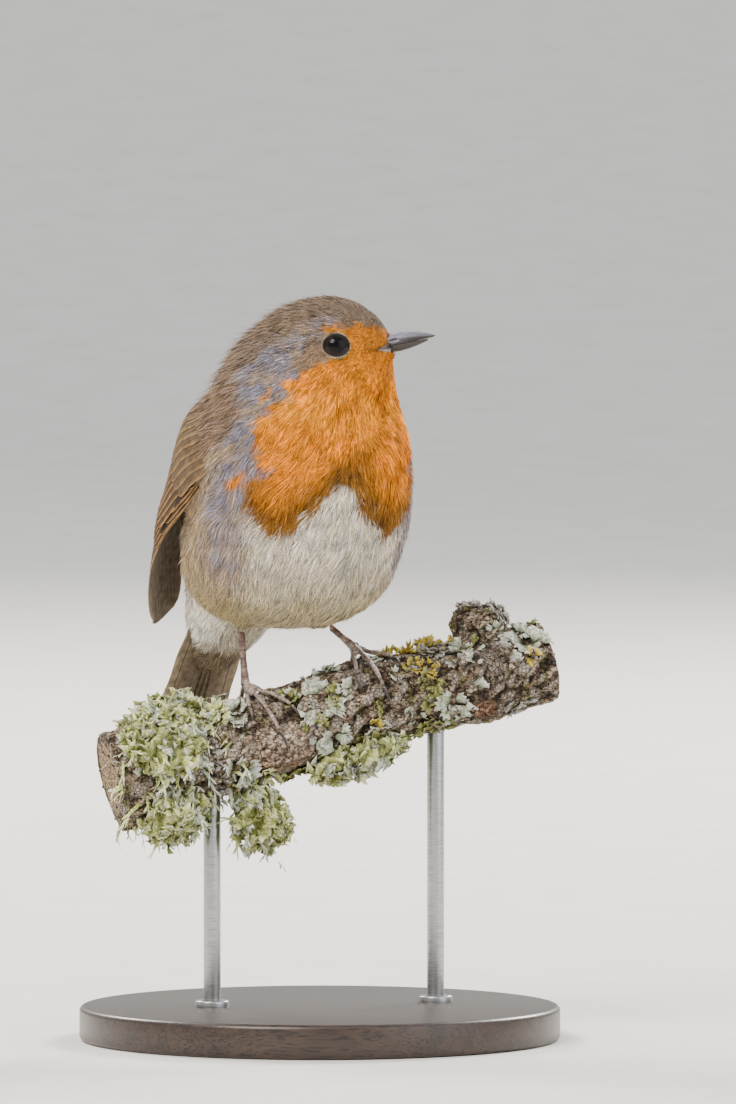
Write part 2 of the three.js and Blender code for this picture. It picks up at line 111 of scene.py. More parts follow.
# %% Colours, nodes and materials
def linear(hex_colour):
    """An sRGB hex colour as the linear RGBA that Blender's sockets take."""
    parts = [int(hex_colour[i : i + 2], 16) / 255 for i in (1, 3, 5)]
    return [p / 12.92 if p <= 0.04045 else ((p + 0.055) / 1.055) ** 2.4 for p in parts] + [1.0]


def tint(hex_colour):
    return np.array(linear(hex_colour)[:3])


def add_node(material, kind, settings=None, inputs=None, stops=None):
    """Adds a shader node. An input is a value, or another node's output to link. Stops fill a colour ramp."""
    made = material.node_tree.nodes.new("ShaderNode" + kind)
    for name, value in (settings or {}).items():
        setattr(made, name, value)
    for name, value in (inputs or {}).items():
        if isinstance(value, bpy.types.NodeSocket):
            material.node_tree.links.new(value, made.inputs[name])
        else:
            made.inputs[name].default_value = value
    for i, (place, colour) in enumerate(stops or []):
        stop = made.color_ramp.elements[i] if i < 2 else made.color_ramp.elements.new(place)
        stop.position = place
        stop.color = linear(colour)
    return made


def new_material(name, **sockets):
    """A material with Blender's Principled shader, and values on the shader's own sockets."""
    material = bpy.data.materials.new(name)
    material.use_nodes = True
    shader = material.node_tree.nodes["Principled BSDF"]
    for socket, value in sockets.items():
        shader.inputs[socket.replace("_", " ")].default_value = value
    print("material", name)
    return material


def link(material, output, socket):
    """Links a node's output to a socket of the material's shader."""
    shader = material.node_tree.nodes["Principled BSDF"]
    material.node_tree.links.new(output, shader.inputs[socket])


def grain(material, per_mm, stretch=(1, 1, 1), turn=0.0, **inputs):
    """Noise on the piece's own coordinates: so many grains to a millimetre, stretched, and turned level."""
    place = add_node(material, "TexCoord")
    seat = {"Vector": place.outputs["Object"], "Scale": stretch, "Rotation": (0, 0, turn)}
    mapped = add_node(material, "Mapping", inputs=seat)
    noise = {"Vector": mapped.outputs["Vector"], "Scale": per_mm / MM, **inputs}
    return add_node(material, "TexNoise", inputs=noise)


def darkened(material, colour, value, stops):
    """A colour multiplied by a ramp over a texture's value."""
    ramp = add_node(material, "ValToRGB", inputs={"Fac": value}, stops=stops)
    blend = {"data_type": "RGBA", "blend_type": "MULTIPLY"}
    mixed = add_node(material, "Mix", blend, {0: 1.0, 6: colour, 7: ramp.outputs["Color"]})
    return mixed.outputs[2]


def finish_surface(material, colour, relief, strength, height):
    """Links the colour of a material, and a relief so many millimetres high."""
    link(material, colour, "Base Color")
    raised = {"Strength": strength, "Distance": height * MM, "Height": relief}
    bump = add_node(material, "Bump", inputs=raised)
    link(material, bump.outputs["Normal"], "Normal")


print("sRGB #808080 is linear", round(linear("#808080")[0], 3))

# %% [markdown]
# ## Stage and light
#
# The floor is a plain pale bowl that curves up into its own backdrop, so no edge shows. A disc is flat for
# 3 m, and its rim is then extruded ring by ring, outwards and up. The light is that of a bright overcast
# day: a pale world, one broad key light above and to the left of the camera, a weaker fill, and two lights
# behind the bird that catch the loose ends of its feathers.

# %% Floor and lights
FLOOR_RADIUS = 3
FLOOR_RINGS = [(0.6, 0.05), (0.6, 0.16), (0.6, 0.3), (0.6, 0.5), (0.6, 0.9), (0.1, 1.5)]
paper = new_material("matte_backdrop_paper", Roughness=0.95)
fibre = add_node(paper, "TexNoise", inputs={"Scale": 400.0, "Detail": 3.0})
tone = add_node(
    paper, "ValToRGB", inputs={"Fac": fibre.outputs["Fac"]}, stops=[(0.3, "#dedbd5"), (0.7, "#e4e1dc")]
)
link(paper, tone.outputs["Color"], "Base Color")
bpy.ops.object.select_all(action="DESELECT")
bpy.ops.mesh.primitive_circle_add(vertices=96, radius=FLOOR_RADIUS, fill_type="NGON", location=(0, 0, 0))
floor = bpy.context.active_object
floor.name = "floor"
bpy.ops.object.mode_set(mode="EDIT")
for out, rise in FLOOR_RINGS:
    bpy.ops.mesh.select_all(action="DESELECT")
    bpy.ops.mesh.select_mode(type="EDGE")
    bpy.ops.mesh.select_non_manifold(
        extend=False, use_wire=False, use_multi_face=False, use_non_contiguous=False
    )
    bpy.ops.mesh.extrude_edges_move(TRANSFORM_OT_translate={"value": (0, 0, rise)})
    reach = max(vertex.co.length for vertex in bmesh.from_edit_mesh(floor.data).verts if vertex.select)
    bpy.ops.transform.resize(value=(1 + out / reach, 1 + out / reach, 1), center_override=(0, 0, 0))
bpy.ops.object.mode_set(mode="OBJECT")
bpy.ops.object.shade_smooth()
floor.data.materials.append(paper)
floor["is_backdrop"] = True


def area_light(name, place, size, power, colour):
    data = bpy.data.lights.new(name, "AREA")
    data.shape = "DISK"
    data.size = size
    data.energy = power
    data.color = linear(colour)[:3]
    aimed_object(name, data, place, AIM).visible_camera = False


area_light("key_light", (-1.1, -1.5, 1.9), 1.5, 78, "#fff6ea")
area_light("fill_light", (1.8, -1.3, 0.9), 2.4, 26, "#f2f4fb")
area_light("left_rim_light", (-1.2, 1.5, 1.5), 0.7, 55, "#fffaf0")
area_light("right_rim_light", (1.2, 1.6, 1.3), 0.7, 75, "#fffaf0")
world = bpy.data.worlds.new("overcast_sky")
bpy.context.scene.world = world
world.use_nodes = True
sky = world.node_tree.nodes["Background"]
sky.inputs["Color"].default_value = linear("#dfe6ee")
sky.inputs["Strength"].default_value = 1.2
print("floor reaches", round(max(v.co.x for v in floor.data.vertices), 2), "m")

# %% [markdown]
# ## Helpers for making pieces
#
# A copied CAD node is loose triangles, so its doubles are merged before anything else. A modifier is added,
# set and applied at once, as one click on Apply would do it by hand. A primitive is added while nothing
# else is selected. A finished piece rides on the one body of this still model.

# %% Copy, modify and finish
def only(obj):
    """Deselects everything and makes one object selected and active."""
    bpy.ops.object.select_all(action="DESELECT")
    obj.select_set(True)
    bpy.context.view_layer.objects.active = obj


def start_piece(name, primitive, **settings):
    """Adds a primitive with its settings and names it."""
    bpy.ops.object.select_all(action="DESELECT")
    primitive(**settings)
    made = bpy.context.active_object
    made.name = name
    return made


def copy_nodes(name, nodes):
    """One clean mesh from copies of CAD nodes."""
    bpy.ops.object.select_all(action="DESELECT")
    copies = []
    for node in nodes:
        copy = bpy.data.objects.new(name, NODES[node].data.copy())
        copy.data.materials.clear()
        bpy.context.scene.collection.objects.link(copy)
        copy.select_set(True)
        copies.append(copy)
    bpy.context.view_layer.objects.active = copies[0]
    bpy.ops.object.join()
    joined = bpy.context.active_object
    joined.name = name
    bpy.ops.object.mode_set(mode="EDIT")
    bpy.ops.mesh.select_all(action="SELECT")
    bpy.ops.mesh.remove_doubles(threshold=0.005 * MM)
    bpy.ops.object.mode_set(mode="OBJECT")
    return joined


def modify(obj, kind, **settings):
    """Adds a modifier, sets it and applies it."""
    only(obj)
    modifier = obj.modifiers.new(kind.lower(), kind)
    for name, value in settings.items():
        setattr(modifier, name, value)
    bpy.ops.object.modifier_apply(modifier=modifier.name)


def remeshed(obj, voxel, swell=0.0, smoothing=0):
    """Rebuilds a mesh from small even faces. Swelling first closes the thin gaps between solids."""
    if swell:
        modify(obj, "DISPLACE", strength=swell, mid_level=0)
    modify(obj, "REMESH", mode="VOXEL", voxel_size=voxel, use_smooth_shade=True)
    keep_largest(obj)
    if smoothing:
        modify(obj, "SMOOTH", factor=0.5, iterations=smoothing)
    only(obj)
    bpy.ops.object.shade_smooth()


def face_outwards(obj):
    """Turns every face of a closed piece outwards."""
    only(obj)
    bpy.ops.object.mode_set(mode="EDIT")
    bpy.ops.mesh.select_all(action="SELECT")
    bpy.ops.mesh.normals_make_consistent(inside=False)
    bpy.ops.object.mode_set(mode="OBJECT")


def keep_largest(obj):
    """Removes all but the largest connected part, such as a pocket left inside."""
    mesh = bmesh.new()
    mesh.from_mesh(obj.data)
    waiting, largest = set(mesh.verts), set()
    while waiting:
        front = [waiting.pop()]
        island = set(front)
        while front:
            near = {edge.other_vert(vertex) for vertex in front for edge in vertex.link_edges} - island
            island |= near
            front = list(near)
        waiting -= island
        largest = max(largest, island, key=len)
    bmesh.ops.delete(mesh, geom=[vertex for vertex in mesh.verts if vertex not in largest], context="VERTS")
    mesh.to_mesh(obj.data)
    mesh.free()


def points_of(obj):
    """An object's vertices as an array, in millimetres."""
    co = np.empty(len(obj.data.vertices) * 3)
    obj.data.vertices.foreach_get("co", co)
    return co.reshape(-1, 3) / MM


def normals_of(obj):
    normals = np.empty(len(obj.data.vertices) * 3)
    obj.data.vertex_normals.foreach_get("vector", normals)
    return normals.reshape(-1, 3)


def move_points(obj, places):
    """Sets an object's vertices from an array in millimetres."""
    obj.data.vertices.foreach_set("co", (places * MM).ravel())
    obj.data.update()


def store_colours(mesh, name, colours):
    """Keeps one linear RGB colour per vertex in a named attribute."""
    attribute = mesh.color_attributes.new(name, "FLOAT_COLOR", "POINT")
    attribute.data.foreach_set("color", np.column_stack([colours, np.ones(len(colours))]).ravel())


def finished(obj, material, replaced=()):
    """Gives a piece its material and body, and hides the CAD nodes that it stands for."""
    obj.data.materials.clear()
    obj.data.materials.append(material)
    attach(obj, "root")
    if replaced:
        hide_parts(*replaced)
    obj.data.calc_loop_triangles()
    print(f"{obj.name}: {len(obj.data.loop_triangles)} triangles")


# %% [markdown]
# ## The bird's own directions
#
# Feathers and markings follow the body, so they need its directions: the trunk's axis from rump to breast,
# the heading of each level from belly to crown, and the angle round that level. A table of levels gives the
# middle and the turn of the body at each height. Angles grow towards the bird's left, and are 0 at the
# middle of the breast or over the bill.

# %% Directions and level angles
def smooth_step(value, low, high):
    share = np.clip((value - low) / (high - low), 0, 1)
    return share * share * (3 - 2 * share)


def lerp(a, b, share):
    return a + (b - a) * share


def unit(vectors):
    return vectors / np.maximum(np.linalg.norm(vectors, axis=-1, keepdims=True), 1e-9)


def heading(turn):
    """Level direction that is turned so many degrees from +X towards -Y, the side of the camera."""
    return np.stack([np.cos(np.radians(turn)), -np.sin(np.radians(turn)), 0 * np.asarray(turn, float)], -1)


def left_of(turn):
    return np.stack([np.sin(np.radians(turn)), np.cos(np.radians(turn)), 0 * np.asarray(turn, float)], -1)


UP = np.array([0.0, 0.0, 1.0])
BODY_TURN = 58
HEAD_TURN = 10
BODY_AHEAD, BODY_LEFT = heading(BODY_TURN), left_of(BODY_TURN)
HEAD_AHEAD, HEAD_LEFT = heading(HEAD_TURN), left_of(HEAD_TURN)
BODY_PITCH = math.radians(50)
TRUNK_MIDDLE = np.array([-6.0, 0.0, 118.0])
HEAD_MIDDLE = np.array([0.0, -13.0, 161.6])
TRUNK_AXIS = BODY_AHEAD * math.cos(BODY_PITCH) + UP * math.sin(BODY_PITCH)
DORSAL = UP * math.cos(BODY_PITCH) - BODY_AHEAD * math.sin(BODY_PITCH)
BILL_ROOT = HEAD_MIDDLE + HEAD_AHEAD * 15.5
EYE_RADIUS = 3.3
OPENING_WIDE = 2.95
OPENING_HIGH = 2.5
EYES = {"right": -1, "left": 1}
# Where the folded wings start, ahead of the trunk's middle along its axis, and how long they are.
WING_FRONT = 27
WING_LENGTH = 69.5


def eye_middle(side):
    return HEAD_MIDDLE + HEAD_AHEAD * 5.7 + HEAD_LEFT * 10.5 * side


def gaze(side):
    """Direction in which an eye looks: out to its side, a little forwards and up."""
    return unit(HEAD_LEFT * side + HEAD_AHEAD * 0.26 + UP * 0.16)


def round_eye(side, turns, out):
    """Directions square to an eye's gaze, and places so far from its axis on the ball's surface."""
    beside = unit(np.cross(UP, gaze(side)))
    away = beside * np.cos(turns)[:, None] + np.cross(gaze(side), beside) * np.sin(turns)[:, None]
    depth = np.sqrt(np.maximum(EYE_RADIUS**2 - out**2, 0))
    return away, eye_middle(side) + away * out[:, None] + gaze(side) * depth[:, None]


def opening(turns):
    """Half-width of the opening between the lids, at angles round it."""
    return 1 / np.hypot(np.cos(turns) / OPENING_WIDE, np.sin(turns) / OPENING_HIGH)


# Height, middle x, middle y and turn of the body's levels.
LEVELS = np.array([
    (95, -8.8, 5, 58), (104.5, -7.6, 2.8, 58), (121, -6, 0, 58), (130, -5.2, -1.5, 56),
    (138, -4.2, -3.4, 50), (145, -3, -6, 38), (151.5, -2.2, -9.2, 25), (158, -1, -12, 14),
    (163, 0.2, -13.2, 10), (167.3, 0.7, -13.8, 10), (173.5, 1.2, -14, 10),
]).T


def level_angle(points):
    """Angle in degrees round the body's own level at each point, and the distance from its middle."""
    turn = np.interp(points[:, 2], LEVELS[0], LEVELS[3])
    middle = np.stack([np.interp(points[:, 2], LEVELS[0], LEVELS[row]) for row in (1, 2)], -1)
    offset = points[:, :2] - middle
    forward = (offset * heading(turn)[:, :2]).sum(-1)
    left = (offset * left_of(turn)[:, :2]).sum(-1)
    return np.degrees(np.arctan2(left, forward)), np.hypot(forward, left)


def ripple(points, wavelength, seed):
    """A smooth random value, mostly from -1 to 1, that varies over a wavelength in millimetres."""
    chance = np.random.default_rng(seed)
    waves = unit(chance.normal(size=(9, 3))) * chance.uniform(0.6, 1.5, (9, 1)) * 2 * math.pi / wavelength
    return np.sin(points @ waves.T + chance.uniform(0, 2 * math.pi, 9)).sum(1) / 3


print("trunk's axis", TRUNK_AXIS.round(3), "bill's root", BILL_ROOT.round(1))

# %% [markdown]
# ## Skin
#
# Under its coat a bird is one smooth body. Copies of the head, neck, trunk, rump, thighs and wing shoulders
# are joined, swollen until the cuts between them close, rebuilt as one even mesh and smoothed. Then every
# point moves inwards by the depth of the coat at that place, least on the face. The eyeballs are joined in
# too, so that the skin closes round them without an open socket, and a plug does the same at the root of
# the bill.

# %% One skin inside the coat
FLESH = ["head", "neck", "trunk", "rump", "leg_right_thigh", "leg_left_thigh"]
SHOULDERS = ["wing_right_shoulder", "wing_left_shoulder"]
SKIN_VOXEL = 0.85 * MM


def distance_from_bill(points):
    return np.linalg.norm(points - BILL_ROOT, axis=1)


def coat_depth(points):
    """Depth of the coat in millimetres: thin round the bill, deep on the belly."""
    return lerp(0.5, 1.0, smooth_step(distance_from_bill(points), 9, 34))


skin = copy_nodes("skin", FLESH + SHOULDERS + ["eye_right", "eye_left"])
plug_middle = Vector(BILL_ROOT - UP * 0.3) * MM
plug = start_piece(
    "bill_plug", bpy.ops.mesh.primitive_uv_sphere_add,
    segments=24, ring_count=14, radius=1, location=plug_middle,
)
plug.scale = (2.4 * MM, 3.1 * MM, 2.6 * MM)
skin.select_set(True)
bpy.context.view_layer.objects.active = skin
bpy.ops.object.join()
remeshed(skin, SKIN_VOXEL, swell=0.25 * MM, smoothing=10)
shape = points_of(skin)
move_points(skin, shape - normals_of(skin) * (coat_depth(shape) + 0.1)[:, None])
print("skin has", len(skin.data.vertices), "points")

# %% [markdown]
# ## Plumage colours
#
# Skin and coat take their colours from the same rule, so no bald patch shows. The orange bib has an
# outline: how far round it reaches at each height, how low it hangs at each angle, and where it stops on
# the forehead. A blue-grey band borders it, the crown, back and wings are olive brown, the belly is cream
# and the flanks are buff grey. Ripples in the outline keep the borders ragged.

# %% Colours and outlines of the markings
PLUMAGE = {
    "bib": "#f08f0b", "bib_dark": "#b3640e", "bib_painted_shade": "#7c5522", "bib_painted_highlight": "#ffa91a", "face": "#d6841f",
    "grey": "#8a8797", "warm_grey": "#a79079", "crown": "#867260", "mantle": "#8b7360", "ear": "#9d8166",
    "belly": "#e2d8c5", "low_belly_and_shade": "#a9986d", "flank": "#b8a181", "undertail": "#fbf4e8", "rump": "#917a5c",
    "tail": "#7f705a", "thigh": "#9a8c74", "eye_line": "#4a3d33", "gape": "#5a3a20",
}
TINTS = {name: tint(value) for name, value in PLUMAGE.items()}
# Half-width of the bib in degrees at each height, and its lower edge at each angle from its middle line.
BIB_REACH = np.array([
    (115, 20), (117.5, 30), (121.4, 37), (123.6, 44), (126.2, 48), (128.5, 48), (131, 45), (133.5, 44.5),
    (137, 51), (140.3, 66), (143, 80), (145.1, 87), (147, 81), (148.4, 80), (149.4, 73), (151.6, 84),
    (153.5, 90), (155.2, 84), (157.2, 70), (158.8, 63), (160, 52), (163.4, 52), (164.8, 74), (167, 84),
]).T
BIB_HEM = np.array([
    (0, 129.8), (5, 128.4), (8, 126.4), (11, 123.9), (17, 121), (24, 118.6),
    (31, 117.2), (36, 119), (50, 126),
]).T
BIB_TOP = np.array([(0, 165.7), (9, 165.9), (23, 166.6), (63, 166.4), (80, 165.8)]).T
BIB_TURN = 12
STRAYS = [("bib", 56, 131.1, 2.2), ("bib", 94, 150.3, 1.3), ("grey", 40, 132.8, 1.5)]
# Where the brown of the back begins, in degrees at each height.
BROWN_EDGE = np.array([
    (100, 128), (114, 116), (123, 96), (131, 86), (139.5, 88), (147.7, 110), (155.6, 143), (161.6, 134),
    (165, 118), (167.5, 95), (169.5, 55), (171, 0),
]).T

print("bib hangs to", BIB_HEM[1].min(), "and reaches up to", BIB_TOP[1].max(), "mm")

# %% [markdown]
# ### The marking rule
#
# The rule paints one colour over another, each through a mask from 0 to 1, as glazes are laid: belly and
# flanks first, then the grey band, the head, the back and tail, and the bib over all of them.

# %% The marking rule
def paint(base, name, mask):
    return lerp(base, TINTS[name], np.clip(mask, 0, 1)[:, None])


def plumage(points):
    """Linear colour of the plumage at points in millimetres."""
    angle, radius = level_angle(points)
    height = points[:, 2]
    angle = np.abs(angle + BIB_TURN * (1 - smooth_step(height, 135, 146)))
    coarse = ripple(points, 5, 3) * lerp(0.8, 0.2, smooth_step(height, 157, 163))
    noise = coarse + ripple(points, 2.2, 4) * 0.5
    per_degree = radius * math.pi / 180
    side_room = (np.interp(height, *BIB_REACH) - angle) * per_degree
    hem_room = height - np.interp(angle, *BIB_HEM)
    top_room = np.interp(angle, *BIB_TOP) - height
    brown_room = (angle - np.interp(height, *BROWN_EDGE)) * per_degree

    mixed = smooth_step(ripple(points, 1.6, 5) + 0.6 * ripple(points, 6, 6), -0.6, 0.9)[:, None]
    grey = lerp(TINTS["grey"], TINTS["warm_grey"], mixed)
    colour = np.tile(TINTS["flank"], (len(points), 1))
    colour = paint(colour, "belly", 1 - smooth_step(angle + noise * 5, 34, 62))
    # Darker olive buff towards the bottom of the belly: partly its own tone, partly painted shade on the
    # underside.
    colour = paint(colour, "low_belly_and_shade", (1 - smooth_step(height + noise, 97, 116)) * 0.8)
    aside = smooth_step(angle + noise * 3, 36, 50)
    low_grey = smooth_step(height + noise * 2, 103, 114) * (1 - smooth_step(angle + noise * 4, 66, 80))
    colour = lerp(colour, grey, (aside * low_grey * 0.9)[:, None])
    high = smooth_step(height + noise, 118, 126)
    colour = lerp(colour, grey, (high * aside * smooth_step(side_room + noise, -13, -7.5) * 0.85)[:, None])
    colour = lerp(colour, grey, (aside * smooth_step(height, 136, 141) * 0.9)[:, None])
    # Painted shade: soft grey smudges on the belly, as shade between clumps of feathers.
    shade_smudges = smooth_step(ripple(points, 5, 9) + 0.6 * ripple(points, 1.8, 10), 0.1, 1.2)
    shade_smudges = shade_smudges * smooth_step(height, 103, 113)
    colour = lerp(colour, grey, (shade_smudges * 0.4)[:, None])
    ear = smooth_step(height + noise, 154.5, 157) * (1 - smooth_step(height + noise, 161.5, 163))
    colour = paint(colour, "ear", ear * (1 - smooth_step(angle + noise * 4, 88, 100)))
    colour = paint(colour, "crown", smooth_step(height + noise, 162.5, 164.5) * 0.45)
    # A dark line runs back from the eye, over the ear.
    off_line = height - lerp(162.6, 159.6, smooth_step(angle, 76, 134)) + noise * 0.3
    dark = np.exp(-((off_line / 0.55) ** 2)) * smooth_step(angle, 72, 80) * (1 - smooth_step(angle, 118, 140))
    colour = paint(colour, "eye_line", dark * 0.7)
    on_back = smooth_step(brown_room + noise, -1.2, 1.2)
    over_bill = smooth_step(-top_room + noise, -1.6, -0.8) * smooth_step(height, 160, 164)
    on_back = np.maximum(on_back, over_bill * (1 - smooth_step(angle + noise * 2, 52, 66)))
    brown = lerp(TINTS["mantle"], TINTS["crown"], smooth_step(height, 150, 160)[:, None])
    colour = lerp(colour, brown, on_back[:, None])

    from_trunk = points - TRUNK_MIDDLE
    towards_tail = -(from_trunk @ TRUNK_AXIS)
    behind = smooth_step(towards_tail, 20, 27)
    above = smooth_step(from_trunk @ DORSAL + noise, 10, 13)
    colour = paint(colour, "undertail", behind * (1 - above))
    # The same darker tone at half strength along the middle under the rump: partly its own tone, partly painted
    # shade.
    off_middle = np.abs(from_trunk @ BODY_LEFT)
    colour = paint(colour, "low_belly_and_shade", behind * smooth_step(-off_middle, -8, -3) * 0.5)
    colour = paint(colour, "tail", smooth_step(towards_tail + noise, 37, 42))
    colour = paint(colour, "rump", behind * above)
    leg = (1 - smooth_step(height, 95, 97.5)) * (1 - behind)
    colour = paint(colour, "thigh", leg)

    room = np.minimum(np.minimum(side_room, hem_room), top_room) + noise
    orange = lerp(TINTS["bib"], TINTS["face"], smooth_step(height, 157, 163)[:, None])
    shadowed = smooth_step(ripple(points, 7, 7) + 0.8 * ripple(points, 2.4, 8), 0.1, 1.3)[:, None]
    orange = lerp(orange, TINTS["bib_dark"], shadowed * 0.75)
    # A painted highlight: a pale band across the upper breast near 147 mm high, where the light falls fullest,
    # left out where the bib is darker.
    highlight_band = 0.6 * np.exp(-(((height - 147) / 6) ** 2))[:, None] * (1 - shadowed)
    orange = lerp(orange, TINTS["bib_painted_highlight"], highlight_band)
    # Painted shade: the bib darkens to brown near its lower edge at the front, where the breast curves under.
    low = (1 - smooth_step(hem_room + noise, 2, 15)) * (1 - smooth_step(angle, 60, 72))
    orange = lerp(orange, TINTS["bib_painted_shade"], low[:, None] * 0.95)
    colour = lerp(colour, orange, smooth_step(room, -0.5, 0.5)[:, None])
    # A few feathers stray over the bib's border: two orange flecks outside it and a grey one inside.
    for name, turn, level, size in STRAYS:
        spot = np.hypot((angle - turn) * per_degree / size, (height - level) / size) + noise * 0.25
        colour = paint(colour, name, (1 - smooth_step(spot, 0.6, 1.1)) * 0.9)
    # The corner of the mouth runs a little way back into the feathers.
    ahead = (points - HEAD_MIDDLE) @ HEAD_AHEAD
    off_gape = height - lerp(160.3, 161.2, (ahead - 12) / 4)
    gape = np.exp(-((off_gape / 0.5) ** 2)) * smooth_step(ahead, 11.5, 13)
    return paint(colour, "gape", gape * 0.85)


# %% [markdown]
# ### Down
#
# Between the feathers shows down, soft and without shine. The skin stands for it, so it has the colours of
# the coat at seven tenths of their brightness, partly for the duller down and partly as painted shade between
# the feathers, broken up by tufts of about a millimetre.

# %% Downy skin
# Darkening of the skin under the coat: partly the down's duller tone, partly painted shade between the
# feathers.
DOWN_SHADE = 0.7
store_colours(skin.data, "plumage", plumage(points_of(skin)) * DOWN_SHADE)
down = new_material("downy_skin", Roughness=0.9, Specular_IOR_Level=0.2)
painted = add_node(down, "Attribute", {"attribute_name": "plumage"})
fluff = grain(down, 0.9, Detail=4.0).outputs["Fac"]
colour = darkened(down, painted.outputs["Color"], fluff, [(0.3, "#8c8c8c"), (0.7, "#ffffff")])
finish_surface(down, colour, fluff, 0.5, 0.3)

# %% [markdown]
# ### Skin map
#
# The skin is unwrapped by its own shape: across the map goes the angle round the body, and up the map goes
# the height, with the rump in a strip of its own below. The coat uses the same map, each feather as a small
# patch at the place of its root, so that finished colours can be kept per feather.

# %% Unwrap by angle and height
BEHIND_SHARE = 0.14
BEHIND_START, BEHIND_LENGTH = 26, 34
MAP_FLOOR, MAP_HEIGHT = 92, 83


def skin_map(points):
    """Place on the unwrapped skin of points in millimetres, from 0 to 1 each way."""
    angle, _ = level_angle(points)
    offset = points - TRUNK_MIDDLE
    along = -(offset @ TRUNK_AXIS)
    round_rump = np.degrees(np.arctan2(offset @ BODY_LEFT, offset @ DORSAL))
    level = BEHIND_SHARE + (1 - BEHIND_SHARE) * (points[:, 2] - MAP_FLOOR) / MAP_HEIGHT
    behind = along > BEHIND_START
    across = np.where(behind, round_rump, angle) / 360 + 0.5
    up = np.where(behind, (along - BEHIND_START) / BEHIND_LENGTH * (BEHIND_SHARE - 0.01), level)
    return np.clip(np.stack([across, up], -1), 0.003, 0.997)


def store_map(mesh, places_per_vertex):
    """Keeps a UV map named OFBake from one place per vertex."""
    corners = np.empty(len(mesh.loops), int)
    mesh.loops.foreach_get("vertex_index", corners)
    layer = mesh.uv_layers.new(name="OFBake")
    layer.uv.foreach_set("vector", places_per_vertex[corners].ravel())


store_map(skin.data, skin_map(points_of(skin)))
finished(skin, down, FLESH + SHOULDERS)
skin.data.calc_loop_triangles()
SKIN_POINTS = points_of(skin)
SKIN_FACES = np.array([list(triangle.vertices) for triangle in skin.data.loop_triangles])
SKIN_TREE = BVHTree.FromPolygons(SKIN_POINTS.tolist(), SKIN_FACES.tolist())
print("skin's area, mm2:", round(sum(polygon.area for polygon in skin.data.polygons) / MM**2))

# %% [markdown]
# ## Coat
#
# Each contour feather shows only its loose outer barbs, which is why a robin looks hairy up close. A
# feather is made here as a tuft of thin pointed strands that fan out from one root. Roots are scattered
# over the skin, closer together on the face. From each root the tuft is walked along the skin in small
# steps, in the direction in which feathers lie: back from the bill over the head, then down the trunk to
# the tail. The lie turns aside round each eye, and wanders a little on the flanks.

# %% The lie of the coat
def lie(points, normals):
    """Direction along the skin in which feathers lie."""
    on_head = smooth_step(points[:, 2], 142, 160)[:, None]
    flow = lerp(-TRUNK_AXIS, unit(points - BILL_ROOT) - 0.3 * TRUNK_AXIS, on_head)
    for side in EYES.values():
        away = points - eye_middle(side)
        near = 1 - smooth_step(np.linalg.norm(away, axis=1), 3.6, 8)
        towards = np.minimum((flow * unit(away)).sum(-1), 0) * near
        flow = flow - unit(away) * towards[:, None] * 1.15
    wander = lerp(0.32, 0.14, on_head[:, 0]) * (ripple(points, 12, 21) + 0.6 * ripple(points, 4, 22))
    flow = unit(flow) + np.cross(normals, unit(flow)) * wander[:, None]
    return unit(flow - normals * (flow * normals).sum(-1, keepdims=True))


SKIN_NORMALS = normals_of(skin)
WALK_STEPS = 3


def on_skin(points):
    """Nearest places on the skin, with the skin's smooth normals there."""
    found = [SKIN_TREE.find_nearest(point) for point in points.tolist()]
    places = np.array([tuple(hit[0]) for hit in found])
    faces = SKIN_FACES[[hit[2] for hit in found]]
    return places, unit(SKIN_NORMALS[faces].mean(1))


def walk(roots, normals, lengths):
    """Stations along the skin from each root, and the normals there: arrays of tufts x stations x 3."""
    places, facing = [roots], [normals]
    for _ in range(WALK_STEPS):
        ahead = places[-1] + lie(places[-1], facing[-1]) * (lengths / WALK_STEPS)[:, None]
        place, normal = on_skin(ahead)
        places.append(place)
        facing.append(normal)
    return np.stack(places, 1), np.stack(facing, 1)


# %% [markdown]
# ### Strands
#
# A strand is a narrow ribbon with a pointed tip: one four-sided face and a tip. Shorter strands at a tuft's
# sides round its end. A strand is darker at its root, where light doesn't reach between real feathers, and
# palest at its tip. A few are much darker or paler than the rest. Each strand is rolled a little round its
# own length, so that some show from every side.

# %% Grow tufts
# Stations of a strand as shares of its length, with its relative width and tone at each.
STRAND = np.array([(0, 0.8, 0.5), (0.5, 1, 0.93), (1, 0, 1.13)]).T
MAP_PATCH = 0.003
DARK_SHARE = 0.17
PALE_SHARE = 0.1
CLUMP = 3.2
WARM_SHIFT = np.array([0.06, 0, -0.14])


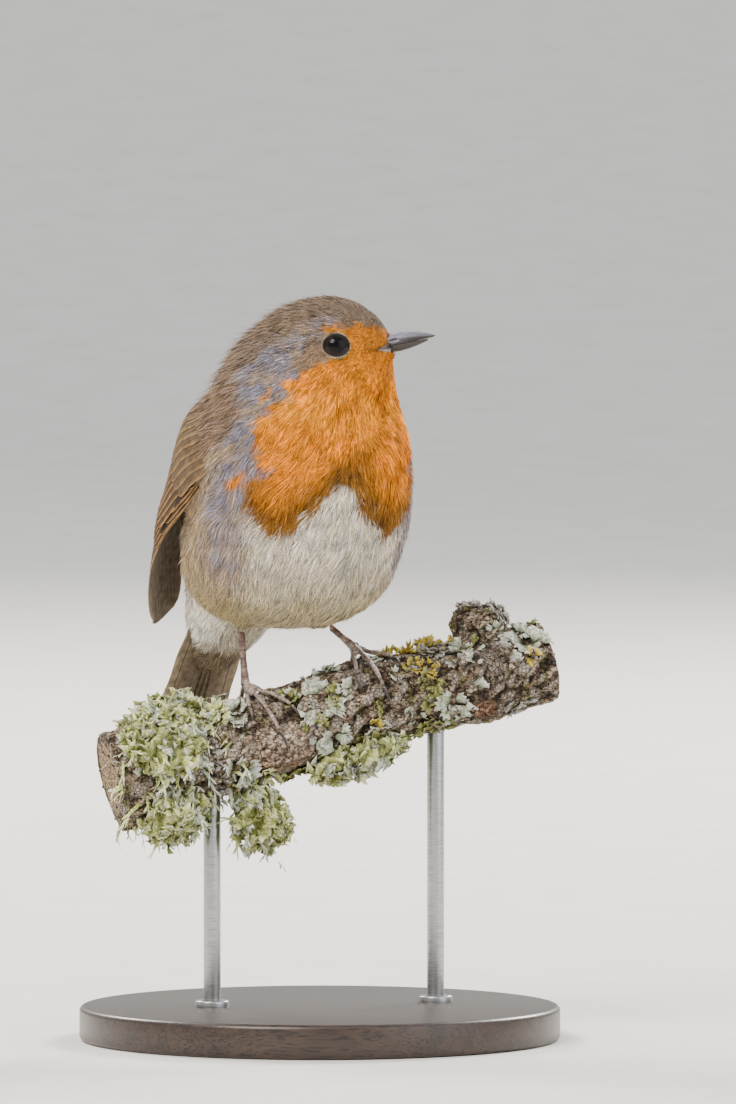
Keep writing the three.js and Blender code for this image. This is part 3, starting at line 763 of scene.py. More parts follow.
def grow(roots, normals, shape, tints, chance, count=9, roll=0.5, path=walk):
    """Tufts of strands: points (tufts, strands, corners, 3) in millimetres, their colours and map places."""
    tufts = len(roots)
    shares, widths, tones = STRAND
    corners = [2] * (len(shares) - 1) + [1]
    places, facing = path(roots, normals, shape["length"])
    across = np.linspace(-1, 1, count) + chance.normal(0, 0.15, (tufts, count))
    start = chance.uniform(0, 0.3, (tufts, count))
    reach = (1 - 0.28 * across**2) * chance.uniform(0.78, 1.12, (tufts, count))
    share = start[..., None] + (reach - start)[..., None] * shares
    seat = np.clip(share, 0, 1.2) * WALK_STEPS
    step = np.minimum(seat.astype(int), WALK_STEPS - 1)
    part = (seat - step)[..., None]
    row = np.arange(tufts)[:, None, None]
    line = lerp(places[row, step], places[row, step + 1], part)
    out = unit(lerp(facing[row, step], facing[row, step + 1], part))
    flow = unit(places[row, step + 1] - places[row, step])
    beside = np.cross(out, flow)
    clump = ripple(roots, CLUMP, 61)[:, None, None]
    turn = chance.normal(0, 0.1, (tufts, 1, 1)) + chance.normal(0, 0.07, (tufts, count, 1))
    sway = turn * shape["length"][:, None, None] * share
    fan = shape["spread"][:, None, None] * across[..., None] * np.maximum(share, 0) ** 0.7 + sway
    rise = shape["lift"][:, None, None] * chance.uniform(0.3, 1.4, (tufts, count, 1)) * share**1.4
    line = line + beside * fan[..., None] + out * (rise * (1 + 0.3 * clump) - 0.12)[..., None]
    along = unit(np.gradient(line, axis=2))
    twist = chance.normal(0, roll, (tufts, count, 1, 1))
    edge = unit(np.cross(out, along)) * np.cos(twist) + out * np.sin(twist)
    half = shape["thick"][:, None, None] / 2 * chance.uniform(0.75, 1.3, (tufts, count, 1)) * widths
    low = (line - edge * half[..., None])[:, :, :-1]
    high = (line + edge * half[..., None])[:, :, :-1]
    points = np.stack([low, high], 3).reshape(tufts, count, -1, 3)
    points = np.concatenate([points, line[:, :, -1:]], 2)

    kind = chance.uniform(size=(tufts, count, 1))
    odd = np.where(kind < DARK_SHARE, 0.4, np.where(kind > 1 - PALE_SHARE, 1.35, 1))
    tone = np.repeat(tones, corners) * odd * (1 + 0.16 * clump)
    tone = tone * chance.lognormal(0, 0.23, (tufts, count, 1)) * chance.lognormal(0, 0.08, (tufts, 1, 1))
    warmth = chance.normal(0, 0.5, (tufts, count, 1, 1)) + chance.normal(0, 0.5, (tufts, 1, 1, 1))
    colours = tints[:, None, None, :] * tone[..., None] * (1 + WARM_SHIFT * warmth)
    aside, ahead = np.broadcast_arrays(across[..., None] / 2.6, np.repeat(share - 0.5, corners, 2) / 1.3)
    offset = np.stack([aside, ahead], -1)
    maps = skin_map(roots)[:, None, None, :] + np.clip(offset, -0.5, 0.5) * MAP_PATCH
    return points, colours, maps


def strand_object(name, points, colours, maps):
    """One mesh from strands: four-sided faces along each, and a three-sided tip."""
    total = points.shape[0] * points.shape[1]
    corners = points.shape[2]
    quads = (corners - 3) // 2
    pattern = [2 * i + corner for i in range(quads) for corner in (0, 1, 3, 2)]
    pattern = np.array(pattern + [corners - 3, corners - 2, corners - 1])
    mesh = bpy.data.meshes.new(name)
    mesh.vertices.add(total * corners)
    mesh.vertices.foreach_set("co", (points * MM).ravel())
    mesh.loops.add(total * len(pattern))
    mesh.loops.foreach_set("vertex_index", (np.arange(total)[:, None] * corners + pattern).ravel())
    mesh.polygons.add(total * (quads + 1))
    starts = np.arange(total)[:, None] * len(pattern) + np.arange(quads + 1) * 4
    mesh.polygons.foreach_set("loop_start", starts.ravel())
    mesh.polygons.foreach_set("use_smooth", np.ones(total * (quads + 1), bool))
    mesh.update(calc_edges=True)
    store_colours(mesh, "plumage", colours.reshape(-1, 3))
    store_map(mesh, maps.reshape(-1, 2))
    made = bpy.data.objects.new(name, mesh)
    bpy.context.scene.collection.objects.link(made)
    return made


# %% [markdown]
# ### Barb finish
#
# Feather barbs are keratin with a soft, slightly silky surface. The colour comes from the marking rule
# through an attribute, and a fine noise breaks it up. A little sheen stands for the light that loose barbs
# scatter along the edge of the body.

# %% Material of the loose barbs
barbs = new_material(
    "keratin_feather_barbs", Roughness=0.75, Specular_IOR_Level=0.08, Sheen_Weight=0.03, Sheen_Roughness=0.5
)
painted = add_node(barbs, "Attribute", {"attribute_name": "plumage"})
speckle = grain(barbs, 2.6, Detail=2.0).outputs["Fac"]
colour = darkened(barbs, painted.outputs["Color"], speckle, [(0.35, "#d8d8d8"), (0.65, "#ffffff")])
link(barbs, colour, "Base Color")

# %% [markdown]
# ### Where feathers grow
#
# Roots are drawn at random from the skin's triangles, weighted by their area and by how close the feathers
# stand there. None grow on the eyes, under the bill's root, at the corners of the mouth, or where the
# folded wing hides them. Feathers are under 2 mm long at the bill and eyes, 4 mm on the nape, and 7 to 8 mm
# on the belly and flanks.

# %% Where no feathers grow
def tree_of(objects):
    """A search tree over the meshes of objects, in millimetres."""
    points, faces = [], []
    for obj in objects:
        first = len(points)
        points += points_of(obj).tolist()
        faces += [[first + index for index in polygon.vertices] for polygon in obj.data.polygons]
    return BVHTree.FromPolygons(points, faces)


WING_TREE = tree_of(NODES[f"wing_{side}_{layer}"] for side in EYES for layer in ("inner", "hand"))
SHOULDER_TREE = tree_of(NODES[name] for name in SHOULDERS)
BILL_TREE = tree_of([NODES["bill_upper"], NODES["bill_lower"]])
COVERTS_START = 0.34
EYE_ROOM = 3.75
BILL_ROOM = 0.5
# The line to the corner of the mouth: how far it is ahead of the head's middle, aside of it and below it, and
# half the height of its horn, each at the bill and at the corner.
GAPE_AHEAD, GAPE_ASIDE, GAPE_BELOW, GAPE_HALF = (17.8, 14.4), (2.0, 6.0), (0.2, 0.8), (1.55, 0.25)
GAPE_STEPS = 7


def hidden_by(tree, points, directions, reach):
    """True where a ray from a point meets the tree within its reach."""
    rays = zip(points.tolist(), directions.tolist())
    return np.array([tree.ray_cast(point, direction, reach)[0] is not None for point, direction in rays])


def gape_half(share):
    """Half the height of the horn at the corner of the mouth, from the bill backwards."""
    return lerp(*GAPE_HALF, share**0.7)


def gape_line(side):
    """Places on the skin from the bill's side back to the corner of the mouth, and the normals there."""
    share = np.linspace(0, 1, GAPE_STEPS)[:, None]
    ahead = HEAD_AHEAD * lerp(*GAPE_AHEAD, share)
    aside = HEAD_LEFT * side * lerp(*GAPE_ASIDE, share)
    return on_skin(HEAD_MIDDLE + ahead + aside - UP * lerp(*GAPE_BELOW, share))


GAPES = {side: gape_line(side) for side in EYES.values()}


def distance_from_eye(points):
    """Distance from the middle of the nearer eye."""
    return np.minimum(*(np.linalg.norm(points - eye_middle(side), axis=1) for side in EYES.values()))


def wing_share(points):
    """Share of the wing's length at points: 0 at the shoulder, 1 at the tip."""
    return (WING_FRONT - (points - TRUNK_MIDDLE) @ TRUNK_AXIS) / WING_LENGTH


def bare(points, normals):
    """True where no contour feather grows."""
    near_bill = np.array([BILL_TREE.find_nearest(point)[3] for point in points.tolist()])
    half_heights = gape_half(np.linspace(0, 1, GAPE_STEPS))
    for corner, _ in GAPES.values():
        from_gape = np.linalg.norm(points[:, None] - corner, axis=-1) - half_heights
        near_bill = np.minimum(near_bill, from_gape.min(1) + 0.4)
    # A ray outwards meets the wing over a point, and one inwards from outside meets the shoulder.
    under_wing = hidden_by(WING_TREE, points - normals * 0.5, normals, 7)
    over_coverts = hidden_by(SHOULDER_TREE, points + normals * 8, -normals, 12)
    over_coverts &= wing_share(points) > COVERTS_START
    return (distance_from_eye(points) < EYE_ROOM) | (near_bill < BILL_ROOM) | under_wing | over_coverts


print("mouth corners end at", [line[-1].round(1).tolist() for line, _ in GAPES.values()])


def feather_shape(points):
    """Length, spread, thickness and lift of the feathers at points, in millimetres."""
    angle, _ = level_angle(points)
    angle = np.abs(angle)
    height = points[:, 2]
    from_bill = distance_from_bill(points)
    head = lerp(1.4, 2.9, smooth_step(from_bill, 2, 24)) + 1.2 * smooth_step(from_bill, 22, 32)
    body = lerp(7.2, 4.2, smooth_step(height, 108, 148))
    body = body + 1.0 * smooth_step(angle, 50, 80) * (1 - smooth_step(height, 120, 135))
    body = lerp(body, 5.5, smooth_step(angle, 105, 130))
    length = lerp(body, head, smooth_step(height, 143, 158))
    length = np.minimum(length, 1.1 + np.maximum(distance_from_eye(points) - EYE_RADIUS, 0) * 0.8)
    fine = smooth_step(length, 1.2, 5)
    return {
        "length": length,
        "spread": length * lerp(0.26, 0.2, fine),
        "thick": lerp(0.13, 0.22, fine),
        "lift": lerp(0.25, 0.5, fine),
    }


def scatter(density, chance):
    """Random roots on the skin, so many to a square millimetre at each place."""
    corners = SKIN_POINTS[SKIN_FACES]
    area = np.linalg.norm(np.cross(corners[:, 1] - corners[:, 0], corners[:, 2] - corners[:, 0]), axis=1) / 2
    weight = area * density(corners.mean(1))
    chosen = chance.choice(len(weight), int(weight.sum()), p=weight / weight.sum())
    a, b = chance.uniform(size=(2, len(chosen), 1))
    a, b = np.where(a + b > 1, 1 - a, a), np.where(a + b > 1, 1 - b, b)
    corner = corners[chosen]
    places = corner[:, 0] + a * (corner[:, 1] - corner[:, 0]) + b * (corner[:, 2] - corner[:, 0])
    return places, unit(SKIN_NORMALS[SKIN_FACES[chosen]].mean(1))


def density(points):
    """Feathers to a square millimetre: closest at the bill, then on the head."""
    close = lerp(8, 4.2, smooth_step(distance_from_bill(points), 4, 26))
    wanted = lerp(3.7, close, smooth_step(points[:, 2], 146, 157))
    return wanted * 1


chance = np.random.default_rng(7)
roots, root_normals = scatter(density, chance)
growing = ~bare(roots, root_normals)
roots, root_normals = roots[growing], root_normals[growing]
print(len(roots), "feathers grow on the skin")

# %% [markdown]
# ### Pieces of the coat
#
# The coat is kept in pieces by region and side, each light enough to handle: crown and face, bib, belly and
# flanks, mantle, and rump. A feather takes its colour from the skin a little way down its length, because
# that is the place that its visible end covers.

# %% Grow the coat region by region
REGION_SLOTS = {
    "head": "crown_feathers", "bib": "breast_feathers", "belly": "belly_feathers",
    "mantle": "wing_coverts", "rump": "rump_feathers",
}
# Heights over which the bib, the mantle and the head begin, and the rump's start behind the trunk's middle.
BIB_FROM, MANTLE_FROM, HEAD_FROM, RUMP_FROM = 129, 100, 155, 24
MOST_TUFTS = 6500


def region_of(points):
    """Names of the region and the side at points."""
    angle, _ = level_angle(points)
    height = points[:, 2]
    behind = -((points - TRUNK_MIDDLE) @ TRUNK_AXIS) > RUMP_FROM
    brown = np.abs(angle) > np.interp(height, *BROWN_EDGE)
    names = np.where(height > BIB_FROM, "bib", "belly")
    names = np.where(brown & (height > MANTLE_FROM), "mantle", names)
    names = np.where(behind, "rump", names)
    return np.where(height > HEAD_FROM, "head", names), np.where(angle < 0, "right", "left")


def coat_colours(points, normals, lengths, chance):
    """Colour of each feather's visible end."""
    ahead = points + lie(points, normals) * (lengths * 0.6)[:, None]
    return plumage(ahead + chance.normal(0, 0.25, points.shape))


regions, sides = region_of(roots)
for region, slot_name in REGION_SLOTS.items():
    for side in EYES:
        chosen = np.flatnonzero((regions == region) & (sides == side))
        chosen = chosen[np.argsort(roots[chosen, 2])]
        parts = np.array_split(chosen, math.ceil(len(chosen) / MOST_TUFTS))
        for number, part in enumerate(parts, 1):
            shape = feather_shape(roots[part])
            tints = coat_colours(roots[part], root_normals[part], shape["length"], chance)
            grown = grow(roots[part], root_normals[part], shape, tints, chance)
            finished(strand_object(f"{region}_feathers_{side}_{number}", *grown), barbs)

# %% [markdown]
# ### Loose ends
#
# A few long barbs work free of their neighbours and stand off the body: most at the nape and back, where
# wind lifts them, and along the throat and breast. They are paler, as the light shines through them.

# %% Loose barbs
LOOSE_SHARE = {"head": 1.0, "bib": 0.35, "belly": 0.3, "mantle": 0.6, "rump": 0.3}
LOOSE_PER_MM2 = 1.3
SUNLIT = tint("#efe2cc")


def loose_density(points):
    away_from_bill = smooth_step(distance_from_bill(points), 9, 20)
    return np.full(len(points), LOOSE_PER_MM2) * away_from_bill * 1


loose_roots, loose_normals = scatter(loose_density, chance)
regions, sides = region_of(loose_roots)
kept = chance.uniform(size=len(regions)) < np.vectorize(LOOSE_SHARE.get)(regions)
kept &= ~bare(loose_roots, loose_normals)
loose_roots, loose_normals, sides = loose_roots[kept], loose_normals[kept], sides[kept]
for side in EYES:
    on_side = sides == side
    places, normals = loose_roots[on_side], loose_normals[on_side]
    shape = feather_shape(places)
    tints = coat_colours(places, normals, shape["length"], chance)
    tints = lerp(tints * 1.15, SUNLIT, 0.06)
    back_of_head = smooth_step(-(places - HEAD_MIDDLE) @ HEAD_AHEAD, 2, 12)
    nape = back_of_head * smooth_step(places[:, 2], 135, 150)
    shape["length"] = shape["length"] * 1.05 + 0.5 + 0.6 * nape
    shape["lift"] = np.full(len(places), 1.1) + 1.3 * nape
    shape["thick"] = np.full(len(places), 0.13)
    shape["spread"] = shape["spread"] * 1.2
    grown = grow(places, normals, shape, tints, chance, count=3, roll=0.9)
    finished(strand_object(f"loose_feathers_{side}", *grown), barbs)

# %% [markdown]
# ### Round the bill
#
# Short feathers at the bill's root point forwards over the horn, and a few dark bristles stand out at the
# sides. Both are tufts like the others, led straight ahead along the bill.

# %% Nasal feathers and bristles
NASAL_TUFTS = 90
BRISTLES = 9


def even_shape(count, **sizes):
    """Sizes of so many tufts, from one value or a value for each."""
    return {name: np.full(count, value) for name, value in sizes.items()}


def forwards(roots, normals, lengths):
    """Stations straight ahead along the bill, easing off the face."""
    ahead = unit(HEAD_AHEAD + 0.02 * unit(roots - BILL_ROOT) + chance.normal(0, 0.08, roots.shape))
    stations = [roots + ahead * (lengths * i / WALK_STEPS)[:, None] for i in range(WALK_STEPS + 1)]
    return np.stack(stations, 1), np.stack([normals] * (WALK_STEPS + 1), 1)


def ring_round_bill(turns, radius):
    out = HEAD_LEFT * np.cos(turns)[:, None] + UP * np.sin(turns)[:, None] * 0.9
    return on_skin(BILL_ROOT + HEAD_AHEAD * 0.4 + out * radius[:, None])


turns = chance.uniform(0.95, math.pi - 0.95, NASAL_TUFTS) * chance.choice([-1, 1], NASAL_TUFTS)
places, normals = ring_round_bill(turns, chance.uniform(2.3, 3.4, NASAL_TUFTS))
lengths = chance.uniform(0.45, 0.9, NASAL_TUFTS)
shape = even_shape(NASAL_TUFTS, length=lengths, spread=0.28, thick=0.13, lift=0.05)
tints = lerp(plumage(places), TINTS["face"], 0.6)
nasal = grow(places, normals, shape, tints, chance, count=7, path=forwards)
finished(strand_object("nasal_feathers", *nasal), barbs)

side_turns = np.linspace(-0.5, 0.35, BRISTLES)
turns = np.concatenate([side_turns, math.pi - side_turns])
places, normals = ring_round_bill(turns, np.full(len(turns), 2.9))
lengths = chance.uniform(2.2, 3.6, len(turns))
shape = even_shape(len(turns), length=lengths, spread=0.4, thick=0.1, lift=0.9)
tints = np.tile(tint("#2a211c"), (len(turns), 1))
bristles = grow(places, normals, shape, tints, chance, count=1, roll=0.2, path=forwards)
finished(strand_object("rictal_bristles", *bristles), barbs)

# %% [markdown]
# ### Lid feathers
#
# Four rows of tiny tufts cover the lids: two pale rows at the rim, which make the fine ring round the eye,
# and two in the colour of the face. They lie outwards from the opening, close over the eyeball.

# %% Feathers on the lids
LID_TUFTS = 80
# Distance from the opening, length and colour of each row. Without a colour it takes the face's.
LID_ROWS = [(0.16, 0.45, "#f2dcac"), (0.42, 0.5, "#e6c48c"), (0.68, 0.8, None), (0.95, 1.0, None)]


def over_lid(side):
    """A path for tufts outwards over one eyeball."""
    middle = eye_middle(side)

    def path(roots, normals, lengths):
        away = roots - middle
        away = unit(away - gaze(side) * (away @ gaze(side))[:, None])
        steps = [roots - middle + away * (lengths * i / WALK_STEPS)[:, None] for i in range(WALK_STEPS + 1)]
        directions = unit(np.stack(steps, 1))
        return middle + directions * (EYE_RADIUS + 0.2), directions

    return path


for name, side in EYES.items():
    rows = []
    for start, length, colour in LID_ROWS:
        turns = np.linspace(0, 2 * math.pi, LID_TUFTS, endpoint=False) + chance.normal(0, 0.02, LID_TUFTS)
        _, places = round_eye(side, turns, opening(turns) + start)
        shape = even_shape(LID_TUFTS, length=length, spread=0.2, thick=0.12, lift=0.16)
        tints = np.tile(tint(colour), (LID_TUFTS, 1)) if colour else plumage(places)
        rows.append(grow(places, places, shape, tints, chance, count=7, path=over_lid(side)))
    made = strand_object(f"lid_feathers_{name}", *(np.concatenate(parts) for parts in zip(*rows)))
    finished(made, barbs)

# %% [markdown]
# ## Wings
#
# A folded wing is a stack of stiff vanes: rows of coverts like roof tiles, three broad tertials, and below
# them the edges of the long flight feathers. Each vane is one flat feather, modelled once as a thin sheet
# and given its rounded end, the ridge of its shaft and its curl, and then laid along the wing's own
# surface. That surface is read from the CAD wing by casting rays in towards the trunk's axis, and smoothed
# so that no facet shows.

# %% One flat feather
VANE_COLUMNS = 8
VANE_ROWS = 20
SHAFT = 0.35


def taken_apart(obj):
    """Points and faces of a small piece that is modelled once and laid many times. The piece goes."""
    points = points_of(obj) * MM
    faces = [list(polygon.vertices) for polygon in obj.data.polygons]
    bpy.data.objects.remove(obj)
    return points, faces


def flat_sheet(columns, rows, thickness):
    """A thin sheet from 0 to 1 along Y and -1 to 1 across, taken apart."""
    sheet = start_piece(
        "sheet", bpy.ops.mesh.primitive_grid_add, x_subdivisions=columns, y_subdivisions=rows, size=2
    )
    bpy.ops.object.mode_set(mode="EDIT")
    bpy.ops.transform.resize(value=(1, 0.5, 1), center_override=(0, 0, 0))
    bpy.ops.transform.translate(value=(0, 0.5, 0))
    bpy.ops.object.mode_set(mode="OBJECT")
    modify(sheet, "SOLIDIFY", thickness=thickness, offset=0)
    return taken_apart(sheet)


def mesh_object(name, points, faces):
    """A smooth object from points in millimetres and the faces between them."""
    mesh = bpy.data.meshes.new(name)
    mesh.from_pydata((points * MM).tolist(), [], faces)
    mesh.polygons.foreach_set("use_smooth", np.ones(len(faces), bool))
    made = bpy.data.objects.new(name, mesh)
    bpy.context.scene.collection.objects.link(made)
    return made


def repeated(faces, size, count):
    """Faces of so many copies of one small mesh that has so many points."""
    return [[i * size + index for index in face] for i in range(count) for face in faces]


VANE, VANE_FACES = flat_sheet(VANE_COLUMNS, VANE_ROWS, 1)


def vane_outline(share, neck, tip=0.13):
    """Half-width of a feather along its length: as narrow as its neck at the root, rounded at the tip."""
    root = lerp(neck, 1, smooth_step(share, 0, 0.35))
    over = np.clip((share - (1 - tip)) / tip, 0, 1)
    return root * np.sqrt(np.clip(1 - over**2.2, 0.02, 1))


def vane_points(number, neck=0.4):
    """Across, along and height of one feather's points, with a few splits in its edge."""
    across, along, layer = VANE.T
    splits = 0.04 * np.sin(along * 17 + number * 2.3)
    wide = across * vane_outline(along, neck) * (1 + splits * np.abs(across) ** 3)
    ridge = np.exp(-(((across - SHAFT) / 0.12) ** 2)) * (1 - 0.6 * along)
    curl = -0.06 * np.abs(across) ** 2.5
    return wide, along, curl + 0.14 * ridge + layer * 0.1 * (1 - 0.5 * np.abs(across))


print("one feather has", len(VANE_FACES), "faces")

# %% [markdown]
# ### The wing's surface
#
# The place of a wing feather is given by its share of the wing's length and by its share of the way from
# the wing's lower edge up to the back.

# %% Read the folded wing from the CAD
WING_LOWER = np.array([12, 9, 10, 14, 19, 27, 34, 44])
WING_UPPER = np.array([36, 60, 70, 75, 80, 82, 82, 74])
WING_ENDS = (0.01, 0.985)
WING_EDGES = (0.03, 0.97)
GRID_ALONG = 36
GRID_ACROSS = 18


def curve_through(values, share):
    """Smooth curve through evenly spaced values."""
    seat = np.clip(share, 0, 1) * (len(values) - 1)
    step = np.minimum(seat.astype(int), len(values) - 2)
    part = seat - step
    before, here, there, after = (values[np.clip(step + i, 0, len(values) - 1)] for i in (-1, 0, 1, 2))
    rise, fall = (there - before) / 2, (after - here) / 2
    return (
        (2 * here - 2 * there + rise + fall) * part**3
        + (-3 * here + 3 * there - 2 * rise - fall) * part**2
        + rise * part
        + here
    )


def wing_ray(side, along, across):
    """Start on the trunk's axis and direction outwards of a place on the wing."""
    angle = np.radians(lerp(curve_through(WING_LOWER, along), curve_through(WING_UPPER, along), across))
    start = TRUNK_MIDDLE + TRUNK_AXIS * (WING_FRONT - WING_LENGTH * along)[:, None]
    outward = BODY_LEFT * side * np.cos(angle)[:, None] + DORSAL * np.sin(angle)[:, None]
    return start, outward


def read_wing(name, side):
    """Distance of the wing's outer face from the trunk's axis, on a smoothed grid."""
    tree = tree_of(NODES[f"wing_{name}_{layer}"] for layer in ("shoulder", "inner", "hand"))
    shares = np.linspace(*WING_ENDS, GRID_ALONG), np.linspace(*WING_EDGES, GRID_ACROSS)
    along, across = np.meshgrid(*shares, indexing="ij")
    start, outward = wing_ray(side, along.ravel(), across.ravel())
    far = 70
    reach = [
        far - hit[3] if (hit := tree.ray_cast(origin, direction, far))[0] else np.nan
        for origin, direction in zip((start + outward * far).tolist(), (-outward).tolist())
    ]
    grid = np.array(reach).reshape(along.shape)
    for line in (*grid, *grid.T):
        known = ~np.isnan(line)
        if known.any():
            line[:] = np.interp(np.arange(len(line)), np.flatnonzero(known), line[known])
    for _ in range(4):
        padded = np.pad(grid, 1, mode="edge")
        grid = (padded[2:, 1:-1] + padded[:-2, 1:-1] + padded[1:-1, 2:] + padded[1:-1, :-2] + 2 * grid) / 6
    return grid


WINGS = {name: read_wing(name, side) for name, side in EYES.items()}


def seat_on_grid(share, ends, count):
    """Row and part of the way to the next row, at shares between the grid's ends."""
    seat = np.clip((share - ends[0]) / (ends[1] - ends[0]), 0, 0.9999) * (count - 1)
    return seat.astype(int), seat - seat.astype(int)


def on_wing(name, along, across, height):
    """Points at a height over the wing's outer face."""
    grid = WINGS[name]
    row, row_part = seat_on_grid(along, WING_ENDS, GRID_ALONG)
    column, column_part = seat_on_grid(across, WING_EDGES, GRID_ACROSS)
    upper = lerp(grid[row, column], grid[row, column + 1], column_part)
    lower = lerp(grid[row + 1, column], grid[row + 1, column + 1], column_part)
    start, outward = wing_ray(EYES[name], along, across)
    return start + outward * (lerp(upper, lower, row_part) + height)[:, None]


def wing_width(name, along):
    """Width of the wing in millimetres at shares of its length."""
    radius = np.interp(along, np.linspace(*WING_ENDS, GRID_ALONG), WINGS[name].mean(1))
    return radius * np.radians(curve_through(WING_UPPER, along) - curve_through(WING_LOWER, along))


print("wing's reach from the axis, mm:", [round(float(np.nanmean(grid)), 1) for grid in WINGS.values()])

# %% [markdown]
# ### Rows of the folded wing
#
# Each row runs from the wing's lower edge upwards. It has the places of its roots and tips along and across
# the wing, the half-width of a feather, and the height at which roots and tips lie over or under the
# surface, for the first and the last feather. Rows nearer the back lie on top.

# %% Wing rows and colours
WING_ROWS = {
    "primaries": {
        "tips": [0.985, 1.003, 1.018, 1.03, 1.039, 1.045, 1.046, 1.042, 1.03], "root": (0.42, 0.42),
        "across": ((0.04, 0.5), (0.14, 0.79)), "half": 3.1, "height": ((-1.2, -0.6), (-0.7, 0.0)),
        "web": "#55432f", "edge": "#bd966a",
    },
    "secondaries": {
        "tips": [0.8, 0.79, 0.775, 0.755, 0.735, 0.71], "root": (0.4, 0.4),
        "across": ((0.4, 0.72), (0.44, 0.72)), "half": 3.0, "height": ((-0.7, -0.3), (0.15, 0.55)),
        "web": "#594630", "edge": "#c09765",
    },
    "tertials": {
        "tips": [0.76, 0.69, 0.62], "root": (0.34, 0.33),
        "across": ((0.72, 0.93), (0.7, 0.93)), "half": 3.6, "height": ((-0.4, -0.1), (0.6, 1.0)),
        "web": "#5f4b35", "edge": "#bc9566",
    },
    "primary_coverts": {
        "tips": [0.58, 0.585, 0.58, 0.57, 0.56, 0.55], "root": (0.3, 0.3),
        "across": ((0.02, 0.22), (0.03, 0.26)), "half": 1.5, "height": ((-0.8, -0.4), (-0.5, 0.2)),
        "web": "#3c2d1f", "edge": "#c0935a",
    },
    "alula": {
        "tips": [0.5, 0.45, 0.4], "root": (0.24, 0.24),
        "across": ((0.02, 0.08), (0.02, 0.08)), "half": 1.5, "height": ((-0.6, -0.3), (-0.1, 0.3)),
        "web": "#3a2c20", "edge": "#b48a58",
    },
    "greater_coverts": {
        "tips": [0.5, 0.505, 0.51, 0.51, 0.505, 0.5, 0.495, 0.49, 0.48, 0.47, 0.46, 0.45],
        "root": (0.22, 0.2),
        "across": ((0.12, 0.86), (0.1, 0.88)), "half": 1.9, "height": ((-1.2, -0.6), (0.4, 1.2)),
        "web": "#59442e", "edge": "#c39660",
    },
    "median_coverts": {
        "tips": [0.33, 0.34, 0.345, 0.345, 0.34, 0.34, 0.33, 0.32, 0.31], "root": (0.14, 0.12),
        "across": ((0.12, 0.86), (0.12, 0.88)), "half": 2.1, "height": ((-1.2, -0.6), (0.6, 1.4)),
        "web": "#755e45", "edge": "#a58459",
    },
}
UNDER_FACE = tint("#af9d85")


def feather_sheet(name, feathers):
    """One piece from many laid feathers: their points and two colours. The under face is paler."""
    count = len(feathers)
    points = np.concatenate([laid for laid, _, _ in feathers])
    made = mesh_object(name, points, repeated(VANE_FACES, len(VANE), count))
    across, along, layer = VANE.T
    local = np.column_stack([across / 2 + 0.5, along])
    row_length = math.ceil(math.sqrt(count))
    cells = [(local * 0.94 + 0.03 + [i % row_length, i // row_length]) / row_length for i in range(count)]
    store_colours(made.data, "vane", np.tile(np.column_stack([local, layer]), (count, 1)))
    paler = np.where(layer < 0, 0.75, 0)[:, None]
    for channel, pick in (("web", 1), ("edge", 2)):
        colours = [lerp(tint(piece[pick]), UNDER_FACE, paler) for piece in feathers]
        store_colours(made.data, channel, np.concatenate(colours))
    store_map(made.data, np.concatenate(cells))
    return made


def wing_feathers(name, row):
    """Every feather of one row of one wing."""
    side = EYES[name]
    laid = []
    for i, tip in enumerate(row["tips"]):
        share = i / (len(row["tips"]) - 1)
        wide, along, thick = vane_points(i)
        root = lerp(*row["root"], share)
        first, last = (lerp(*ends, share) for ends in row["across"])
        low, high = (lerp(*ends, share) for ends in row["height"])
        share_along = lerp(root, tip, along)
        # The outer web points to the wing's lower edge.
        across = lerp(first, last, along**0.8) - wide * row["half"] / wing_width(name, share_along)
        height = lerp(low, high, smooth_step(along, 0, 0.6)) + thick
        laid.append((on_wing(name, share_along, across, height), row["web"], row["edge"]))
    return laid


print("feathers in a wing:", sum(len(row["tips"]) for row in WING_ROWS.values()))

# %% [markdown]
# ### Vane finish
#
# A vane is a flat web of barbs locked together, so it is smoother than the body's loose feathers and shows
# fine slanting lines. The outer web of each wing feather, the strip that shows in the folded wing, is a
# warm brown with a thin golden edge. The inner web is darker, the shaft is a dark line, and the under face
# is paler.

# %% Material of the vanes
SHAFT_PLACE = (1 + SHAFT) / 2
vane = new_material("keratin_flight_vane", Roughness=0.75, Specular_IOR_Level=0.08)
seat = add_node(vane, "Attribute", {"attribute_name": "vane"})
axes = add_node(vane, "SeparateXYZ", inputs={"Vector": seat.outputs["Vector"]})
web = add_node(vane, "Attribute", {"attribute_name": "web"})
edge = add_node(vane, "Attribute", {"attribute_name": "edge"})
fringe = add_node(
    vane, "ValToRGB", inputs={"Fac": axes.outputs["X"]},
    stops=[
        (0.0, "#404040"), (0.08, "#000000"), (0.6, "#000000"),
        (0.72, "#4c4c4c"), (0.86, "#585858"), (0.92, "#ffffff"),
    ],
)
edged = add_node(
    vane, "Mix", {"data_type": "RGBA"},
    {0: fringe.outputs["Color"], 6: web.outputs["Color"], 7: edge.outputs["Color"]},
)
shaft = [(0.3, "#c0c0c0"), (0.655, "#f0f0f0"), (0.668, "#5a5a5a"), (0.682, "#5a5a5a"), (0.695, "#ffffff")]
colour = darkened(vane, edged.outputs[2], axes.outputs["X"], shaft)
mottle = grain(vane, 0.7, Detail=4.0).outputs["Fac"]
colour = darkened(vane, colour, mottle, [(0.3, "#b8b8b8"), (0.7, "#ffffff")])
